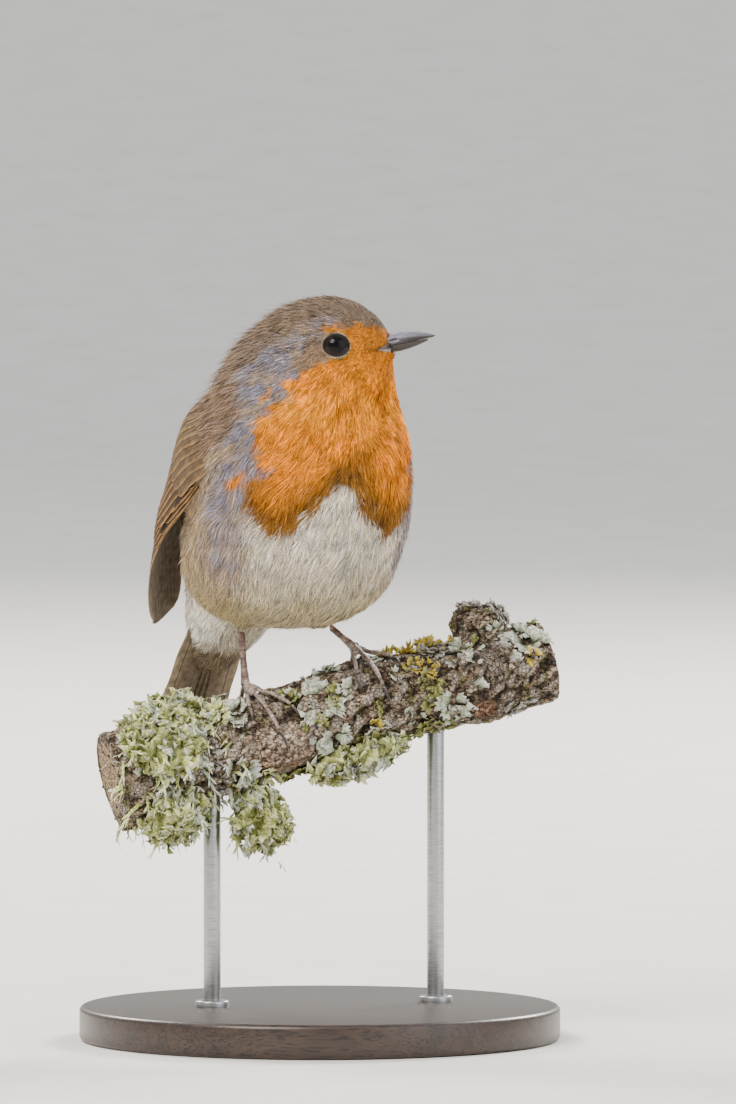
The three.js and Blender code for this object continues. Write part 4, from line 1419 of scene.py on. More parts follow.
# One barb about every 0.4 mm on a feather some 30 mm long: coarser than life, so that it shows.
away = add_node(vane, "Math", {"operation": "SUBTRACT"}, {0: axes.outputs["X"], 1: SHAFT_PLACE})
away = add_node(vane, "Math", {"operation": "ABSOLUTE"}, {0: away.outputs[0]})
backwards = {0: away.outputs[0], 1: -0.35, 2: axes.outputs["Y"]}
slant = add_node(vane, "Math", {"operation": "MULTIPLY_ADD"}, backwards)
rib = add_node(vane, "Math", {"operation": "MULTIPLY"}, {0: slant.outputs[0], 1: 480.0})
rib = add_node(vane, "Math", {"operation": "SINE"}, {0: rib.outputs[0]})
finish_surface(vane, colour, rib.outputs[0], 0.35, 0.12)

for name in EYES:
    rows = {key: wing_feathers(name, row) for key, row in WING_ROWS.items()}
    flight = rows["primaries"] + rows["secondaries"] + rows["tertials"]
    coverts = rows["primary_coverts"] + rows["alula"] + rows["greater_coverts"] + rows["median_coverts"]
    nodes = [f"wing_{name}_inner", f"wing_{name}_hand"]
    finished(feather_sheet(f"flight_feathers_{name}", flight), vane, nodes)
    finished(feather_sheet(f"wing_coverts_{name}", coverts), vane)

# %% [markdown]
# ## Tail
#
# The closed tail is six pairs of straight feathers. The middle pair lies on top, and each pair further out
# is a little lower, so that from below the outermost pair is seen whole, between the pale edges of the
# others.

# %% Tail feathers
TAIL_PITCH = math.radians(58.5)
TAIL_LINE = -BODY_AHEAD * math.cos(TAIL_PITCH) - UP * math.sin(TAIL_PITCH)
TAIL_UPPER = np.cross(BODY_LEFT, TAIL_LINE)
TAIL_ROOT = TRUNK_MIDDLE - BODY_AHEAD * 18.2 + UP * 0.2
TAIL_LENGTH = 58
TAIL_START = 22
TAIL_SHORTER = [1.6, 0.8, 0, 0, 0.6, 1.8]
TAIL_HALF_WIDTH = 3.4
TAIL_SHIFT = -2.4


def tail_feather(side, pair):
    """Points of one feather. Pairs count from the top one outwards and down."""
    wide, along, thick = vane_points(pair * 2 + side, neck=0.85)
    distance = lerp(TAIL_START, TAIL_LENGTH - TAIL_SHORTER[pair] - 0.2, along)
    across = side * wide * TAIL_HALF_WIDTH
    turn = math.radians(0.3 + 0.45 * pair) * side
    root = side * (0.4 + 0.68 * pair) + TAIL_SHIFT
    left = across * math.cos(turn) + distance * math.sin(turn) + root
    ahead = distance * math.cos(turn) - across * math.sin(turn)
    height = 0.3 - 0.42 * pair - 0.06 * (side + 1) + thick * 0.8
    place = TAIL_ROOT + BODY_LEFT * left[:, None] + TAIL_LINE * ahead[:, None]
    return place + TAIL_UPPER * height[:, None]


tail = [(tail_feather(side, pair), "#77624a", "#a2886a") for pair in range(6) for side in (-1, 1)]
finished(feather_sheet("tail_feathers_vanes", tail), vane, ["tail_feathers"])

# %% [markdown]
# ## Bill
#
# The bill is horn over bone, in two halves that meet along a line rising towards the tip. The CAD halves
# are rebuilt finely and smoothed, and the clearance between them is closed to a hairline. A nostril is
# pressed into each side near the root. The upper half is dark grey and worn smooth, with a blue-grey painted
# highlight along the ridge, the lower half dark brown, with fine lengthwise growth lines. On both the colour is
# painted paler where the surface faces up and darker below, as top light and shade.

# %% Bill halves
horn = new_material("polished_dark_horn", Roughness=0.3, Specular_IOR_Level=0.5, Coat_Weight=0.15)
painted = add_node(horn, "Attribute", {"attribute_name": "horn"})
growth = grain(horn, 2.6, stretch=(0.16, 1, 1), turn=math.radians(HEAD_TURN), Detail=4.0).outputs["Fac"]
colour = darkened(horn, painted.outputs["Color"], growth, [(0.3, "#a8a8a8"), (0.7, "#ffffff")])
finish_surface(horn, colour, growth, 0.2, 0.08)
# How much longer than the CAD half each tip grows, and its colours in painted shade below and painted top light
# on top.
BILL_HALVES = {"upper": (0.6, "#2f2729", "#93929f"), "lower": (0.9, "#2b1e16", "#523a2b")}
TIP_DROP = 0.15
SEAM = 0.02


def horn_with_painted_toplight(normals, low, high):
    """Painted light: dark below as painted shade, and paler where the surface faces up as painted top light."""
    return lerp(tint(low), tint(high), smooth_step(normals[:, 2], 0.0, 0.85)[:, None])


def press_nostrils(places):
    """Presses a slit into each side of the upper half."""
    for side in EYES.values():
        nostril = HEAD_MIDDLE + HEAD_AHEAD * 17.6 + HEAD_LEFT * side * 1.7 + UP * 1.25
        from_nostril = places - nostril
        ahead = from_nostril @ HEAD_AHEAD
        rise = from_nostril @ UP - ahead * 0.2
        on_side = (from_nostril @ HEAD_LEFT) * side > -1.2
        dent = np.exp(-((ahead / 0.85) ** 2) - (rise / 0.32) ** 2) * on_side
        places = places - HEAD_LEFT * side * 0.5 * dent[:, None]
    return places


for half, other in (("upper", "lower"), ("lower", "upper")):
    longer, low, high = BILL_HALVES[half]
    bill = copy_nodes(f"bill_{half}_horn", [f"bill_{half}"])
    remeshed(bill, 0.14 * MM, smoothing=8)
    places = points_of(bill)
    across_seam = tree_of([NODES[f"bill_{other}"]])
    for i, point in enumerate(places.tolist()):
        hit, _, _, gap = across_seam.find_nearest(point, 0.6)
        if hit is not None:
            places[i] += (np.array(hit) - point) / max(gap, 0.01) * max(gap / 2 - SEAM, 0)
    if half == "upper":
        places = press_nostrils(places)
    far = smooth_step((places - HEAD_MIDDLE) @ HEAD_AHEAD, 18, 28)[:, None]
    move_points(bill, places + far * (HEAD_AHEAD * longer - UP * TIP_DROP))
    # Horn colours with painted top light: paler where the surface faces up, darker below.
    store_colours(bill.data, "horn", horn_with_painted_toplight(normals_of(bill), low, high))
    finished(bill, horn, [f"bill_{half}"])

# %% [markdown]
# ### Corners of the mouth
#
# At each side the horn runs back into the face and narrows to the corner of the mouth, with the dark line
# between the two halves along its middle. A ball is drawn out along that line, narrower and narrower.

# %% Corners of the mouth
def along_gape(share, values):
    """Values between the stations of the line to the corner of the mouth."""
    stations = np.linspace(0, 1, GAPE_STEPS)
    return np.stack([np.interp(share, stations, values[:, axis]) for axis in range(3)], -1)


for name, side in EYES.items():
    corner = start_piece(
        f"mouth_corner_{name}", bpy.ops.mesh.primitive_uv_sphere_add, segments=24, ring_count=20, radius=MM
    )
    bpy.ops.object.shade_smooth()
    up, out, along = points_of(corner).T
    full = np.maximum(np.hypot(up, out), 0.01) ** 0.5
    seat = (along + 1) / 2
    line, normals = GAPES[side]
    outward = unit(along_gape(seat, normals))
    rise = UP * (up / full * gape_half(seat))[:, None]
    move_points(corner, along_gape(seat, line) + rise + outward * (out / full * 0.55)[:, None])
    face_outwards(corner)
    seam = np.exp(-(((up + 0.1) / 0.16) ** 2))[:, None]
    # Both tones carry painted top light, paler where the corner faces up; along the line they run from dark at
    # the bill to pale at the corner.
    dark = horn_with_painted_toplight(normals_of(corner), "#30241d", "#6b5f60")
    pale = horn_with_painted_toplight(normals_of(corner), "#66524a", "#a5948c")
    flesh = lerp(dark, pale, smooth_step(seat, 0.15, 0.7)[:, None])
    store_colours(corner.data, "horn", lerp(flesh, tint("#2b211e"), seam * 0.9))
    finished(corner, horn)

# %% [markdown]
# ## Eyes
#
# A robin's eye is large and looks black: a wide pupil in a very dark brown iris, under a wet cornea, whose
# low roughness gives one sharp spark of light. Each eye is a smooth ball. Dark lids of bare beaded skin
# close over it above and below, each pair a ring drawn out over the ball, so that the opening is wider than
# it is high.

# %% Lids
LID_REACH = 3.25
rim_skin = new_material("bare_lid_skin", Roughness=0.5)
place = add_node(rim_skin, "TexCoord")
beads = add_node(rim_skin, "TexVoronoi", inputs={"Vector": place.outputs["Object"], "Scale": 3.6 / MM})
rim_tone = add_node(
    rim_skin, "ValToRGB", inputs={"Fac": beads.outputs["Distance"]},
    stops=[(0.1, "#3d3127"), (0.8, "#1d1712")],
)
link(rim_skin, rim_tone.outputs["Color"], "Base Color")


def make_lids(name, side):
    """A ring whose tube is drawn out over the ball, from the opening to the skin."""
    lids = start_piece(
        f"lids_{name}", bpy.ops.mesh.primitive_torus_add,
        major_segments=72, minor_segments=12, major_radius=MM, minor_radius=0.25 * MM,
    )
    bpy.ops.object.shade_smooth()
    x, y, z = points_of(lids).T
    turns = np.arctan2(y, x)
    outer = 0.5 + 2 * (np.hypot(x, y) - 1)
    _, places = round_eye(side, turns, lerp(opening(turns), LID_REACH, outer))
    move_points(lids, places + unit(places - eye_middle(side)) * (0.02 + 0.55 * z)[:, None])
    face_outwards(lids)
    finished(lids, rim_skin)


# %% Eyeballs
wet = new_material("wet_dark_eye", Roughness=0.08, IOR=1.25)
painted = add_node(wet, "Attribute", {"attribute_name": "iris"})
fibres = grain(wet, 3.0, Detail=3.0).outputs["Fac"]
colour = darkened(wet, painted.outputs["Color"], fibres, [(0.3, "#909090"), (0.7, "#ffffff")])
link(wet, colour, "Base Color")
for name, side in EYES.items():
    middle = eye_middle(side)
    turn = Vector(gaze(side)).to_track_quat("Z", "Y").to_euler()
    eye = start_piece(
        f"eyeball_{name}", bpy.ops.mesh.primitive_uv_sphere_add,
        segments=48, ring_count=32, radius=EYE_RADIUS * MM, location=middle * MM, rotation=turn,
    )
    bpy.ops.object.transform_apply()
    bpy.ops.object.shade_smooth()
    towards = (points_of(eye) - middle) @ gaze(side) / EYE_RADIUS
    iris = tint("#2a1a10") * smooth_step(towards, 0.4, 0.9)[:, None] * 0.9
    pupil = smooth_step(towards, 0.8, 0.84)[:, None]
    store_colours(eye.data, "iris", lerp(iris + 0.004, np.full(3, 0.003), pupil))
    finished(eye, wet, [f"eye_{name}"])
    make_lids(name, side)

# %% [markdown]
# ## Legs and feet
#
# A songbird's leg is skin over bone and tendon, with plates like a row of shields down its front and rings
# of small plates along each toe. Each shank and its four toes are joined, rebuilt as one fine mesh and then
# raised into plates that overlap towards the claws. The claws stay separate pieces of horn. The skin is
# dry, so its shine is dull, and fine cells break it up between the seams.

# %% Material of the leg's skin
leg_skin = new_material("scaly_leg_skin", Roughness=0.42, Specular_IOR_Level=0.5)
scales = add_node(leg_skin, "Attribute", {"attribute_name": "scales"})
mottle = grain(leg_skin, 1.5, Detail=3.0).outputs["Fac"]
colour = darkened(leg_skin, scales.outputs["Color"], mottle, [(0.3, "#9a9a9a"), (0.7, "#ffffff")])
place = add_node(leg_skin, "TexCoord")
cells = add_node(leg_skin, "TexVoronoi", inputs={"Vector": place.outputs["Object"], "Scale": 2.4 / MM})
finish_surface(leg_skin, colour, cells.outputs["Distance"], 0.3, 0.05)

# %% Scaled legs
DIGITS = ["middle", "inner", "outer", "hind"]
SHANK_PLATE = 2.1
TOE_PLATE = 0.95
LEG_SWELL = 0.17
SHANK_THINNER = 0.17
TOE_THINNER = 0.34
# Heights over the sole between which the toes become the shank.
TOES_TO_SHANK = (9, 13)
# Direction of the painted light on the legs: from the camera's side, a little from the left and from above.
PAINTED_LIGHT_ON_LEGS = unit(np.array([-0.2, -0.8, 0.5]))


def raise_plates(leg, name):
    """Moves the leg's points out into overlapping plates, colours their seams darker, and paints light and
    shade.
    """
    places, normals = points_of(leg), normals_of(leg)
    shank = points_of(NODES[f"leg_{name}_tarsus"])
    ankle = shank[shank[:, 2] < shank[:, 2].min() + 1].mean(0)
    from_ankle = np.linalg.norm(places - ankle, axis=1)
    up_leg = places[:, 2] > ankle[2] + 1.2
    spacing = np.where(up_leg, SHANK_PLATE, TOE_PLATE)
    part = np.mod(from_ankle * np.where(up_leg, -1, 1) / spacing, 1)
    front = np.where(up_leg[:, None], BODY_AHEAD, UP).mean(0)
    plated = smooth_step(normals @ front, -0.3, 0.3)
    seam = np.exp(-(((part - 0.03) / 0.09) ** 2)) + np.exp(-(((part - 1.03) / 0.09) ** 2))
    height = (0.05 * part - 0.07 * seam) * lerp(0.5, 1, plated) * smooth_step(from_ankle, 0.8, 2)
    places = places + normals * (height + 0.02 * ripple(places, 1.1, 31))[:, None]
    move_points(leg, places)
    mottle = smooth_step(ripple(places, 3, 32), -1, 1)[:, None]
    shank_tone = lerp(tint("#6b5145"), tint("#94796a"), mottle)
    toe_tone = lerp(tint("#8b7468"), tint("#b8a498"), mottle)
    tone = lerp(toe_tone, shank_tone, smooth_step(places[:, 2] - ankle[2], 0.5, 3)[:, None])
    tone = lerp(tone, tint("#3f2c25"), np.clip(seam, 0, 1)[:, None] * 0.75)
    # Painted light and shade: paler where the skin faces that light, down to six tenths where it turns away.
    tone = tone * lerp(0.6, 1.1, smooth_step(normals @ PAINTED_LIGHT_ON_LEGS, -0.2, 0.8))[:, None]
    store_colours(leg.data, "scales", tone)


for name in EYES:
    nodes = [f"leg_{name}_tarsus"] + [f"foot_{name}_{digit}_toe" for digit in DIGITS]
    leg = copy_nodes(f"leg_and_toes_{name}", nodes)
    remeshed(leg, 0.18 * MM, swell=LEG_SWELL * MM, smoothing=3)
    shape = points_of(leg)
    sole = shape[:, 2].min()
    up_shank = smooth_step(shape[:, 2], sole + TOES_TO_SHANK[0], sole + TOES_TO_SHANK[1])
    inwards = lerp(TOE_THINNER, SHANK_THINNER, up_shank)
    move_points(leg, shape - normals_of(leg) * inwards[:, None])
    raise_plates(leg, name)
    finished(leg, leg_skin, nodes)

claw_nodes = [f"foot_{name}_{digit}_claw" for name in EYES for digit in DIGITS]
claws = copy_nodes("claws_horn", claw_nodes)
modify(claws, "DISPLACE", strength=0.07 * MM, mid_level=0)
modify(claws, "SUBSURF", levels=2, render_levels=2)
only(claws)
bpy.ops.object.shade_smooth()
# The claws' horn carries painted top light: paler where it faces up, darker below.
store_colours(claws.data, "horn", horn_with_painted_toplight(normals_of(claws), "#3a2f2a", "#8d7f77"))
finished(claws, horn, claw_nodes)

# %% [markdown]
# ## Branch
#
# The perch is a cut length of an old fruit tree's branch, with rough scaly bark, a scar where a twig broke
# off, and sawn ends. The CAD branch is rebuilt finely, and its points are moved in and out by ripples of
# several sizes: swellings, flakes stretched along the wood, and grains. Colour follows the same ripples, so
# that hollows are dark and flakes are pale.

# %% Places on the branch
BRANCH_LINE = np.array([(-48, 60.5), (-28, 65.8), (-8, 72.2), (12, 78.8), (32, 82.6), (53, 87.2)]).T
BRANCH_TURN = math.tan(math.radians(15))
BRANCH_RADIUS = 10
SAWN_ENDS = (-46.5, 51.5)


def branch_middle(x):
    """Places on the branch's middle line."""
    return np.stack([x, (x + 6) * BRANCH_TURN, np.interp(x, *BRANCH_LINE)], -1)


def off_branch(degrees):
    """Direction away from the branch's middle, turned from the top towards the front."""
    return UP * math.cos(math.radians(degrees)) - np.array([0, 1, 0]) * math.sin(math.radians(degrees))


BARE_PATCH = branch_middle(np.array(-8.0)) + off_branch(115) * BRANCH_RADIUS
TWIG_SCAR = branch_middle(np.array(38.0)) + off_branch(128) * BRANCH_RADIUS
KNOT = branch_middle(np.array(39.0)) + off_branch(74) * BRANCH_RADIUS
# Places that no lichen covers, and the room to keep round them.
BARE_SPOTS = [(BARE_PATCH, 6), (TWIG_SCAR, 5.5), (KNOT, 5)]


def tones(value, stops):
    """Linear colours from a value, between named places on a ramp."""
    spots = [place for place, _ in stops]
    channels = np.array([linear(colour)[:3] for _, colour in stops]).T
    return np.stack([np.interp(value, spots, channel) for channel in channels], -1)


print("twig's scar at", TWIG_SCAR.round(1), "mm")

# %% Relief of the bark
branch = copy_nodes("branch_bark", ["perch_branch"])
remeshed(branch, 0.58 * MM, smoothing=6)
places, normals = points_of(branch), normals_of(branch)
ends = np.abs(normals[:, 0]) > 0.8
ends &= (places[:, 0] < SAWN_ENDS[0]) | (places[:, 0] > SAWN_ENDS[1])
stretched = places * (0.45, 1, 1)
flakes = ripple(stretched, 3.2, 41)
grains = ripple(places, 1.5, 42)
crack = np.abs(ripple(stretched, 5.5, 43))
relief = 0.3 * ripple(places, 9, 44) + 0.28 * flakes + 0.14 * grains - 0.5 * np.exp(-((crack / 0.12) ** 2))
patch = np.exp(-(((places - BARE_PATCH) / (9, 8, 6)) ** 2).sum(1) ** 2)
relief = relief * (1 - 0.75 * patch)
from_scar = np.linalg.norm(places - TWIG_SCAR, axis=1)
relief = relief * smooth_step(from_scar, 2, 5)
relief += 1.2 * np.exp(-(((from_scar - 2.9) / 0.8) ** 2)) - 0.5 * np.exp(-((from_scar / 0.9) ** 2))
from_knot = np.linalg.norm(places - KNOT, axis=1)
relief += np.exp(-((from_knot / 4.3) ** 4)) * (1.1 + 0.3 * np.sin(from_knot * 3.2))
relief = np.where(ends, 0, relief)
move_points(branch, places + normals * relief[:, None])
print("relief of the bark, mm:", relief.min().round(2), "to", relief.max().round(2))

# %% [markdown]
# ### Colours of the bark
#
# Old bark is grey brown, darkest in its cracks. Here and there it is green with algae or under a grey crust
# of lichen. One patch has lost its outer bark and shows ochre, the scar and the knot have rings of darker
# wood round them, and the sawn ends show the year rings.

# %% Paint the bark
bark_tone = tones(
    flakes + 0.7 * grains - 1.4 * np.exp(-((crack / 0.2) ** 2)),
    [(-1.8, "#362c23"), (-0.6, "#6a5a4b"), (0.2, "#96836f"), (1.0, "#b8a691"), (1.8, "#d0c1ae")],
)
moss = smooth_step(ripple(places, 5, 49) + 0.5 * ripple(places, 1.6, 50), 0.5, 0.9)[:, None]
moss_tone = tones(flakes + grains, [(-1.5, "#2f2d14"), (0, "#6a6636"), (1.5, "#9c9a5c")])
bark_tone = lerp(bark_tone, moss_tone, moss * 0.75)
bare_tone = tones(grains + 0.4 * flakes, [(-1.2, "#806a58"), (0, "#b69f8b"), (1.2, "#d8c6b3")])
ochre = tones(grains + 0.4 * flakes, [(-1.2, "#6b4a31"), (0, "#a8835f"), (1.2, "#c6a483")])
bare_tone = lerp(ochre, bare_tone, smooth_step(places[:, 2] + ripple(places, 6, 48), 62, 67)[:, None])
bark_tone = lerp(bark_tone, bare_tone, np.clip(patch * 1.3, 0, 1)[:, None])
crust = smooth_step(ripple(places, 5, 45) + 0.6 * ripple(places, 2, 46), 0.35, 0.75) * (1 - patch)
crust = crust * smooth_step(from_scar, 3, 5) * smooth_step(from_knot, 3, 5) * (1 - ends)
knot = np.exp(-((from_knot / 4.4) ** 6))[:, None]
knot_tone = tones(grains + 0.5 * np.sin(from_knot * 5), [(-1.5, "#5c4f43"), (1.5, "#a99b8c")])
bark_tone = lerp(bark_tone, knot_tone, knot)
scar = np.exp(-((from_scar / 2.8) ** 6))[:, None]
scar_tone = tones(grains + np.sin(from_scar * 5), [(-1.5, "#7a5743"), (1.5, "#c39e86")])
bark_tone = lerp(bark_tone, scar_tone, scar)
for ring, wide in ((0, 0.8), (3.1, 0.35), (4.7, 0.35)):
    bark_tone = lerp(bark_tone, tint("#35281f"), np.exp(-(((from_scar - ring) / wide) ** 2))[:, None] * 0.85)
bark_tone = lerp(bark_tone, tint("#3d3128"), np.exp(-(((from_knot - 4.9) / 0.4) ** 2))[:, None] * 0.8)
from_pith = np.linalg.norm((places - branch_middle(places[:, 0])) * (0, 1, 1), axis=1)
year_rings = np.sin(from_pith * 5.2 + 0.5 * ripple(places, 5, 47))
sawn_wood = tones(year_rings, [(-1, "#b59a78"), (0.6, "#c9b18f"), (1, "#93775a")])
bark_tone = np.where(ends[:, None] & (from_pith < 9.3)[:, None], sawn_wood, bark_tone)
store_colours(branch.data, "bark", bark_tone)
store_colours(branch.data, "crust", np.repeat(crust[:, None], 3, 1))
print("crusted share of the bark:", round(float(crust.mean()), 2))

# %% Material of the bark
bark = new_material("scaly_orchard_bark", Roughness=0.9, Specular_IOR_Level=0.2)
painted = add_node(bark, "Attribute", {"attribute_name": "bark"})
crusted = add_node(bark, "Attribute", {"attribute_name": "crust"})
place = add_node(bark, "TexCoord").outputs["Object"]
grit = grain(bark, 1.4, Detail=5.0)
# Fine cracks, longer along the wood than across it.
stretched = add_node(bark, "Mapping", inputs={"Vector": place, "Scale": (0.42 / MM, 0.9 / MM, 0.9 / MM)})
bent = add_node(bark, "VectorMath", inputs={0: stretched.outputs["Vector"], 1: grit.outputs["Color"]})
to_edge = {"feature": "DISTANCE_TO_EDGE"}
cracks = add_node(bark, "TexVoronoi", to_edge, {"Vector": bent.outputs["Vector"], "Scale": 1.0})
wood = darkened(bark, painted.outputs["Color"], grit.outputs["Fac"], [(0.34, "#6f6963"), (0.6, "#ffffff")])
wood = darkened(bark, wood, cracks.outputs["Distance"], [(0.02, "#4e443b"), (0.1, "#ffffff")])
# Crusty lichens: pale cells with dark gaps, and black dots.
cells = add_node(bark, "TexVoronoi", to_edge, {"Vector": place, "Scale": 1.1 / MM})
paving = add_node(
    bark, "ValToRGB", inputs={"Fac": cells.outputs["Distance"]},
    stops=[(0.02, "#473e36"), (0.12, "#857b70"), (0.35, "#aaa296")],
)
dots = add_node(bark, "TexVoronoi", inputs={"Vector": place, "Scale": 0.7 / MM})
dark_dot = [(0.16, "#2b2521"), (0.24, "#ffffff")]
dotted = darkened(bark, paving.outputs["Color"], dots.outputs["Distance"], dark_dot)
covered = add_node(bark, "Mix", {"data_type": "RGBA"}, {0: crusted.outputs["Fac"], 6: wood, 7: dotted})
height = {0: cracks.outputs["Distance"], 1: 1.2, 2: grit.outputs["Fac"]}
raised = add_node(bark, "Math", {"operation": "MULTIPLY_ADD"}, height)
finish_surface(bark, covered.outputs[2], raised.outputs[0], 0.8, 0.3)
finished(branch, bark, ["perch_branch"])

# %% [markdown]
# ## Lichen
#
# Leafy lichens grow as rosettes: flat lobes that press against the bark in the middle and curl up at their
# ends. Shrubby ones make deep cushions of ruffled lobes, as at the branch's thick end. One lobe is modelled
# once as a thin sheet, and hundreds of copies, each with three scallops and a curled rim of its own, are
# laid on the bark in clusters.

# %% One lobe
LOBE_COLUMNS = 6
LOBE_ROWS = 3
LOBE, LOBE_FACES = flat_sheet(LOBE_COLUMNS, LOBE_ROWS, 0.16)


def lobe_points(chance):
    """Across, along and height of one lobe's points, as shares of its length."""
    across, along, layer = LOBE.T
    wide = across * lerp(0.14, chance.uniform(0.5, 0.8), along)
    tip = 0.17 * np.cos(across * math.pi * 3) * along**2 - 0.25 * across**2 * along
    curl = chance.uniform(0.05, 0.3) * across**2 * along + chance.uniform(-0.05, 0.3) * along**3
    ruffle = 0.09 * np.sin(across * 5 + chance.uniform(0, 6)) * along
    return wide, along + tip, curl + ruffle + layer * chance.uniform(0.5, 0.8)


print("one lobe has", len(LOBE_FACES), "faces")

# %% [markdown]
# ### Clusters
#
# Each cluster has a place along the branch, a place round it in degrees from the top towards the front, a
# radius, a number of lobes, their length, how far they stand up, and a kind. A kind is a ramp of tones from
# the root of a lobe to its rim, which is palest.

# %% Lichen colours and clusters
LICHEN_TONES = {
    "leafy": [(0, "#5f654f"), (0.35, "#a6ad94"), (0.8, "#d5dbc8"), (1.15, "#f5f6ea")],
    "shrubby": [(0, "#868a47"), (0.35, "#c6cc7c"), (0.8, "#e8eda8"), (1.15, "#fafadc")],
    "yellow": [(0, "#75641c"), (0.35, "#bda434"), (0.8, "#e3c94c"), (1.15, "#f4e28c")],
    "olive": [(0, "#38381c"), (0.35, "#6b6c35"), (0.8, "#999b58"), (1.15, "#c0c287")],
    "grey": [(0, "#47413b"), (0.35, "#89837c"), (0.8, "#b5b0a8"), (1.15, "#dcd8d0")],
}
LICHEN_CLUSTERS = [
    (-19.3, 41, 2.8, 9, 2.6, 0.3, "leafy"), (0.5, 62, 4.2, 13, 3.8, 0.1, "leafy"),
    (8.0, 66, 2.2, 5, 3.2, 0.18, "leafy"), (3.3, 118, 3.0, 8, 3.6, 0.1, "leafy"),
    (31.4, 112, 3.2, 10, 3.4, 0.12, "leafy"), (34.9, 42, 3.6, 13, 2.8, 0.25, "leafy"),
    (49.5, 52, 3.4, 12, 3.2, 0.18, "leafy"), (41.9, 60, 3.0, 9, 2.6, 0.2, "grey"),
    (22.1, 48, 2.4, 16, 1.5, 0.6, "yellow"), (15.8, 12, 2.0, 16, 2.0, 1.0, "yellow"),
    (20.5, 10, 2.2, 18, 2.0, 1.0, "yellow"), (25.0, 14, 2.2, 16, 1.9, 0.9, "yellow"),
    (29.0, 8, 1.8, 12, 1.7, 0.8, "yellow"), (25.5, 60, 2.4, 16, 1.5, 0.6, "yellow"),
    (15.1, 95, 2.4, 14, 1.8, 0.5, "olive"), (25.6, 82, 2.6, 14, 1.8, 0.5, "olive"),
    (17.4, 168, 3.2, 18, 2.6, 0.8, "olive"), (-7, 40, 2.6, 12, 2.0, 0.4, "olive"),
    (-11.6, 148, 4.2, 24, 2.8, 0.6, "shrubby"), (-5.8, 176, 4.6, 26, 2.8, 0.6, "olive"),
    (-25.6, 30, 4.4, 30, 2.6, 0.7, "shrubby"), (10, 24, 3.0, 12, 2.4, 0.4, "grey"),
    (27, 26, 3.4, 14, 2.4, 0.4, "grey"), (37.5, -8, 4.6, 34, 2.0, 0.6, "grey"),
    (42, 12, 4.0, 26, 2.0, 0.6, "grey"), (6, 160, 4.6, 24, 3.2, 0.5, "leafy"),
    (14, 132, 3.0, 11, 2.8, 0.3, "leafy"), (27, 152, 3.4, 15, 3.0, 0.4, "olive"),
    (46, 150, 3.4, 13, 2.6, 0.3, "grey"), (-18, 120, 3.4, 13, 3.0, 0.4, "leafy"),
    (45, -60, 4.2, 17, 3.0, 0.2, "leafy"), (30, -70, 4.6, 20, 3.2, 0.2, "leafy"),
    (14, -60, 3.8, 16, 2.8, 0.3, "grey"), (-2, -75, 5.0, 22, 3.2, 0.2, "leafy"),
    (-17, -60, 4.2, 22, 2.8, 0.5, "shrubby"), (22, -120, 4.2, 18, 2.8, 0.3, "olive"),
    (-8, -130, 4.2, 18, 2.8, 0.4, "olive"), (38, -125, 4.0, 16, 2.6, 0.3, "grey"),
]
print(sum(cluster[3] for cluster in LICHEN_CLUSTERS), "lobes in", len(LICHEN_CLUSTERS), "large clusters")

# %% Lay a lobe on the bark
def lay_lobe(tree, root, direction, length, tilt, chance):
    """One lobe on the surface: its points follow what is under them, and rise by their tilt."""
    wide, along, height = lobe_points(chance)
    place, normal, _, _ = tree.find_nearest(root)
    normal = np.array(normal)
    direction = unit(direction - normal * (direction @ normal))
    beside = np.cross(normal, direction)
    ahead = along * (1 - 0.35 * tilt)
    flat = np.array(place) + length * (beside * wide[:, None] + direction * ahead[:, None])
    laid = []
    for point, rise in zip(flat.tolist(), (height + tilt * along**1.3).tolist()):
        foot, up, _, _ = tree.find_nearest(point)
        laid.append(np.array(foot) + (np.array(up) * 0.6 + normal * 0.4) * (rise * length + 0.12))
    return np.array(laid), along + height * 0.4


def lobe_object(name, lobes):
    """One piece from laid lobes: points, and the tone and kind of each."""
    points = np.concatenate([laid for laid, _, _ in lobes])
    made = mesh_object(name, points, repeated(LOBE_FACES, len(LOBE), len(lobes)))
    colours = [tones(tone, LICHEN_TONES[kind]) for _, tone, kind in lobes]
    store_colours(made.data, "lichen", np.concatenate(colours))
    return made


# %% [markdown]
# ### Cushions and rosettes
#
# The deep growths at the branch's thick end start from the CAD lumps, roughened, and are covered with
# upright lobes. Small growths fill the bark between the large ones. Bare spots stay free, and so do the
# bird's feet.

# %% Cushions
LICHEN_NODES = ["left_front", "left_top", "left_under", "hanging", "middle_under"]
LICHEN_NODES = [f"perch_lichen_{place}" for place in LICHEN_NODES]
FOOT_NODES = [f"foot_{side}_{digit}_{end}" for side in EYES for digit in DIGITS for end in ("toe", "claw")]
FOOT_TREE = tree_of(NODES[name] for name in FOOT_NODES)
chance = np.random.default_rng(19)
cushions = []
for node in LICHEN_NODES:
    cushion = copy_nodes(node.replace("perch_lichen", "lichen_cushion"), [node])
    remeshed(cushion, 0.5 * MM, smoothing=4)
    places = points_of(cushion)
    rough = 0.7 * ripple(places, 3.4, 51) + 0.35 * ripple(places, 1.5, 52)
    move_points(cushion, places + normals_of(cushion) * (rough - 0.3)[:, None])
    store_colours(cushion.data, "lichen", tones((rough + 1) / 2.4, LICHEN_TONES["shrubby"]) * 0.7)
    cushions.append(cushion)
growth_tree = tree_of([branch] + cushions)

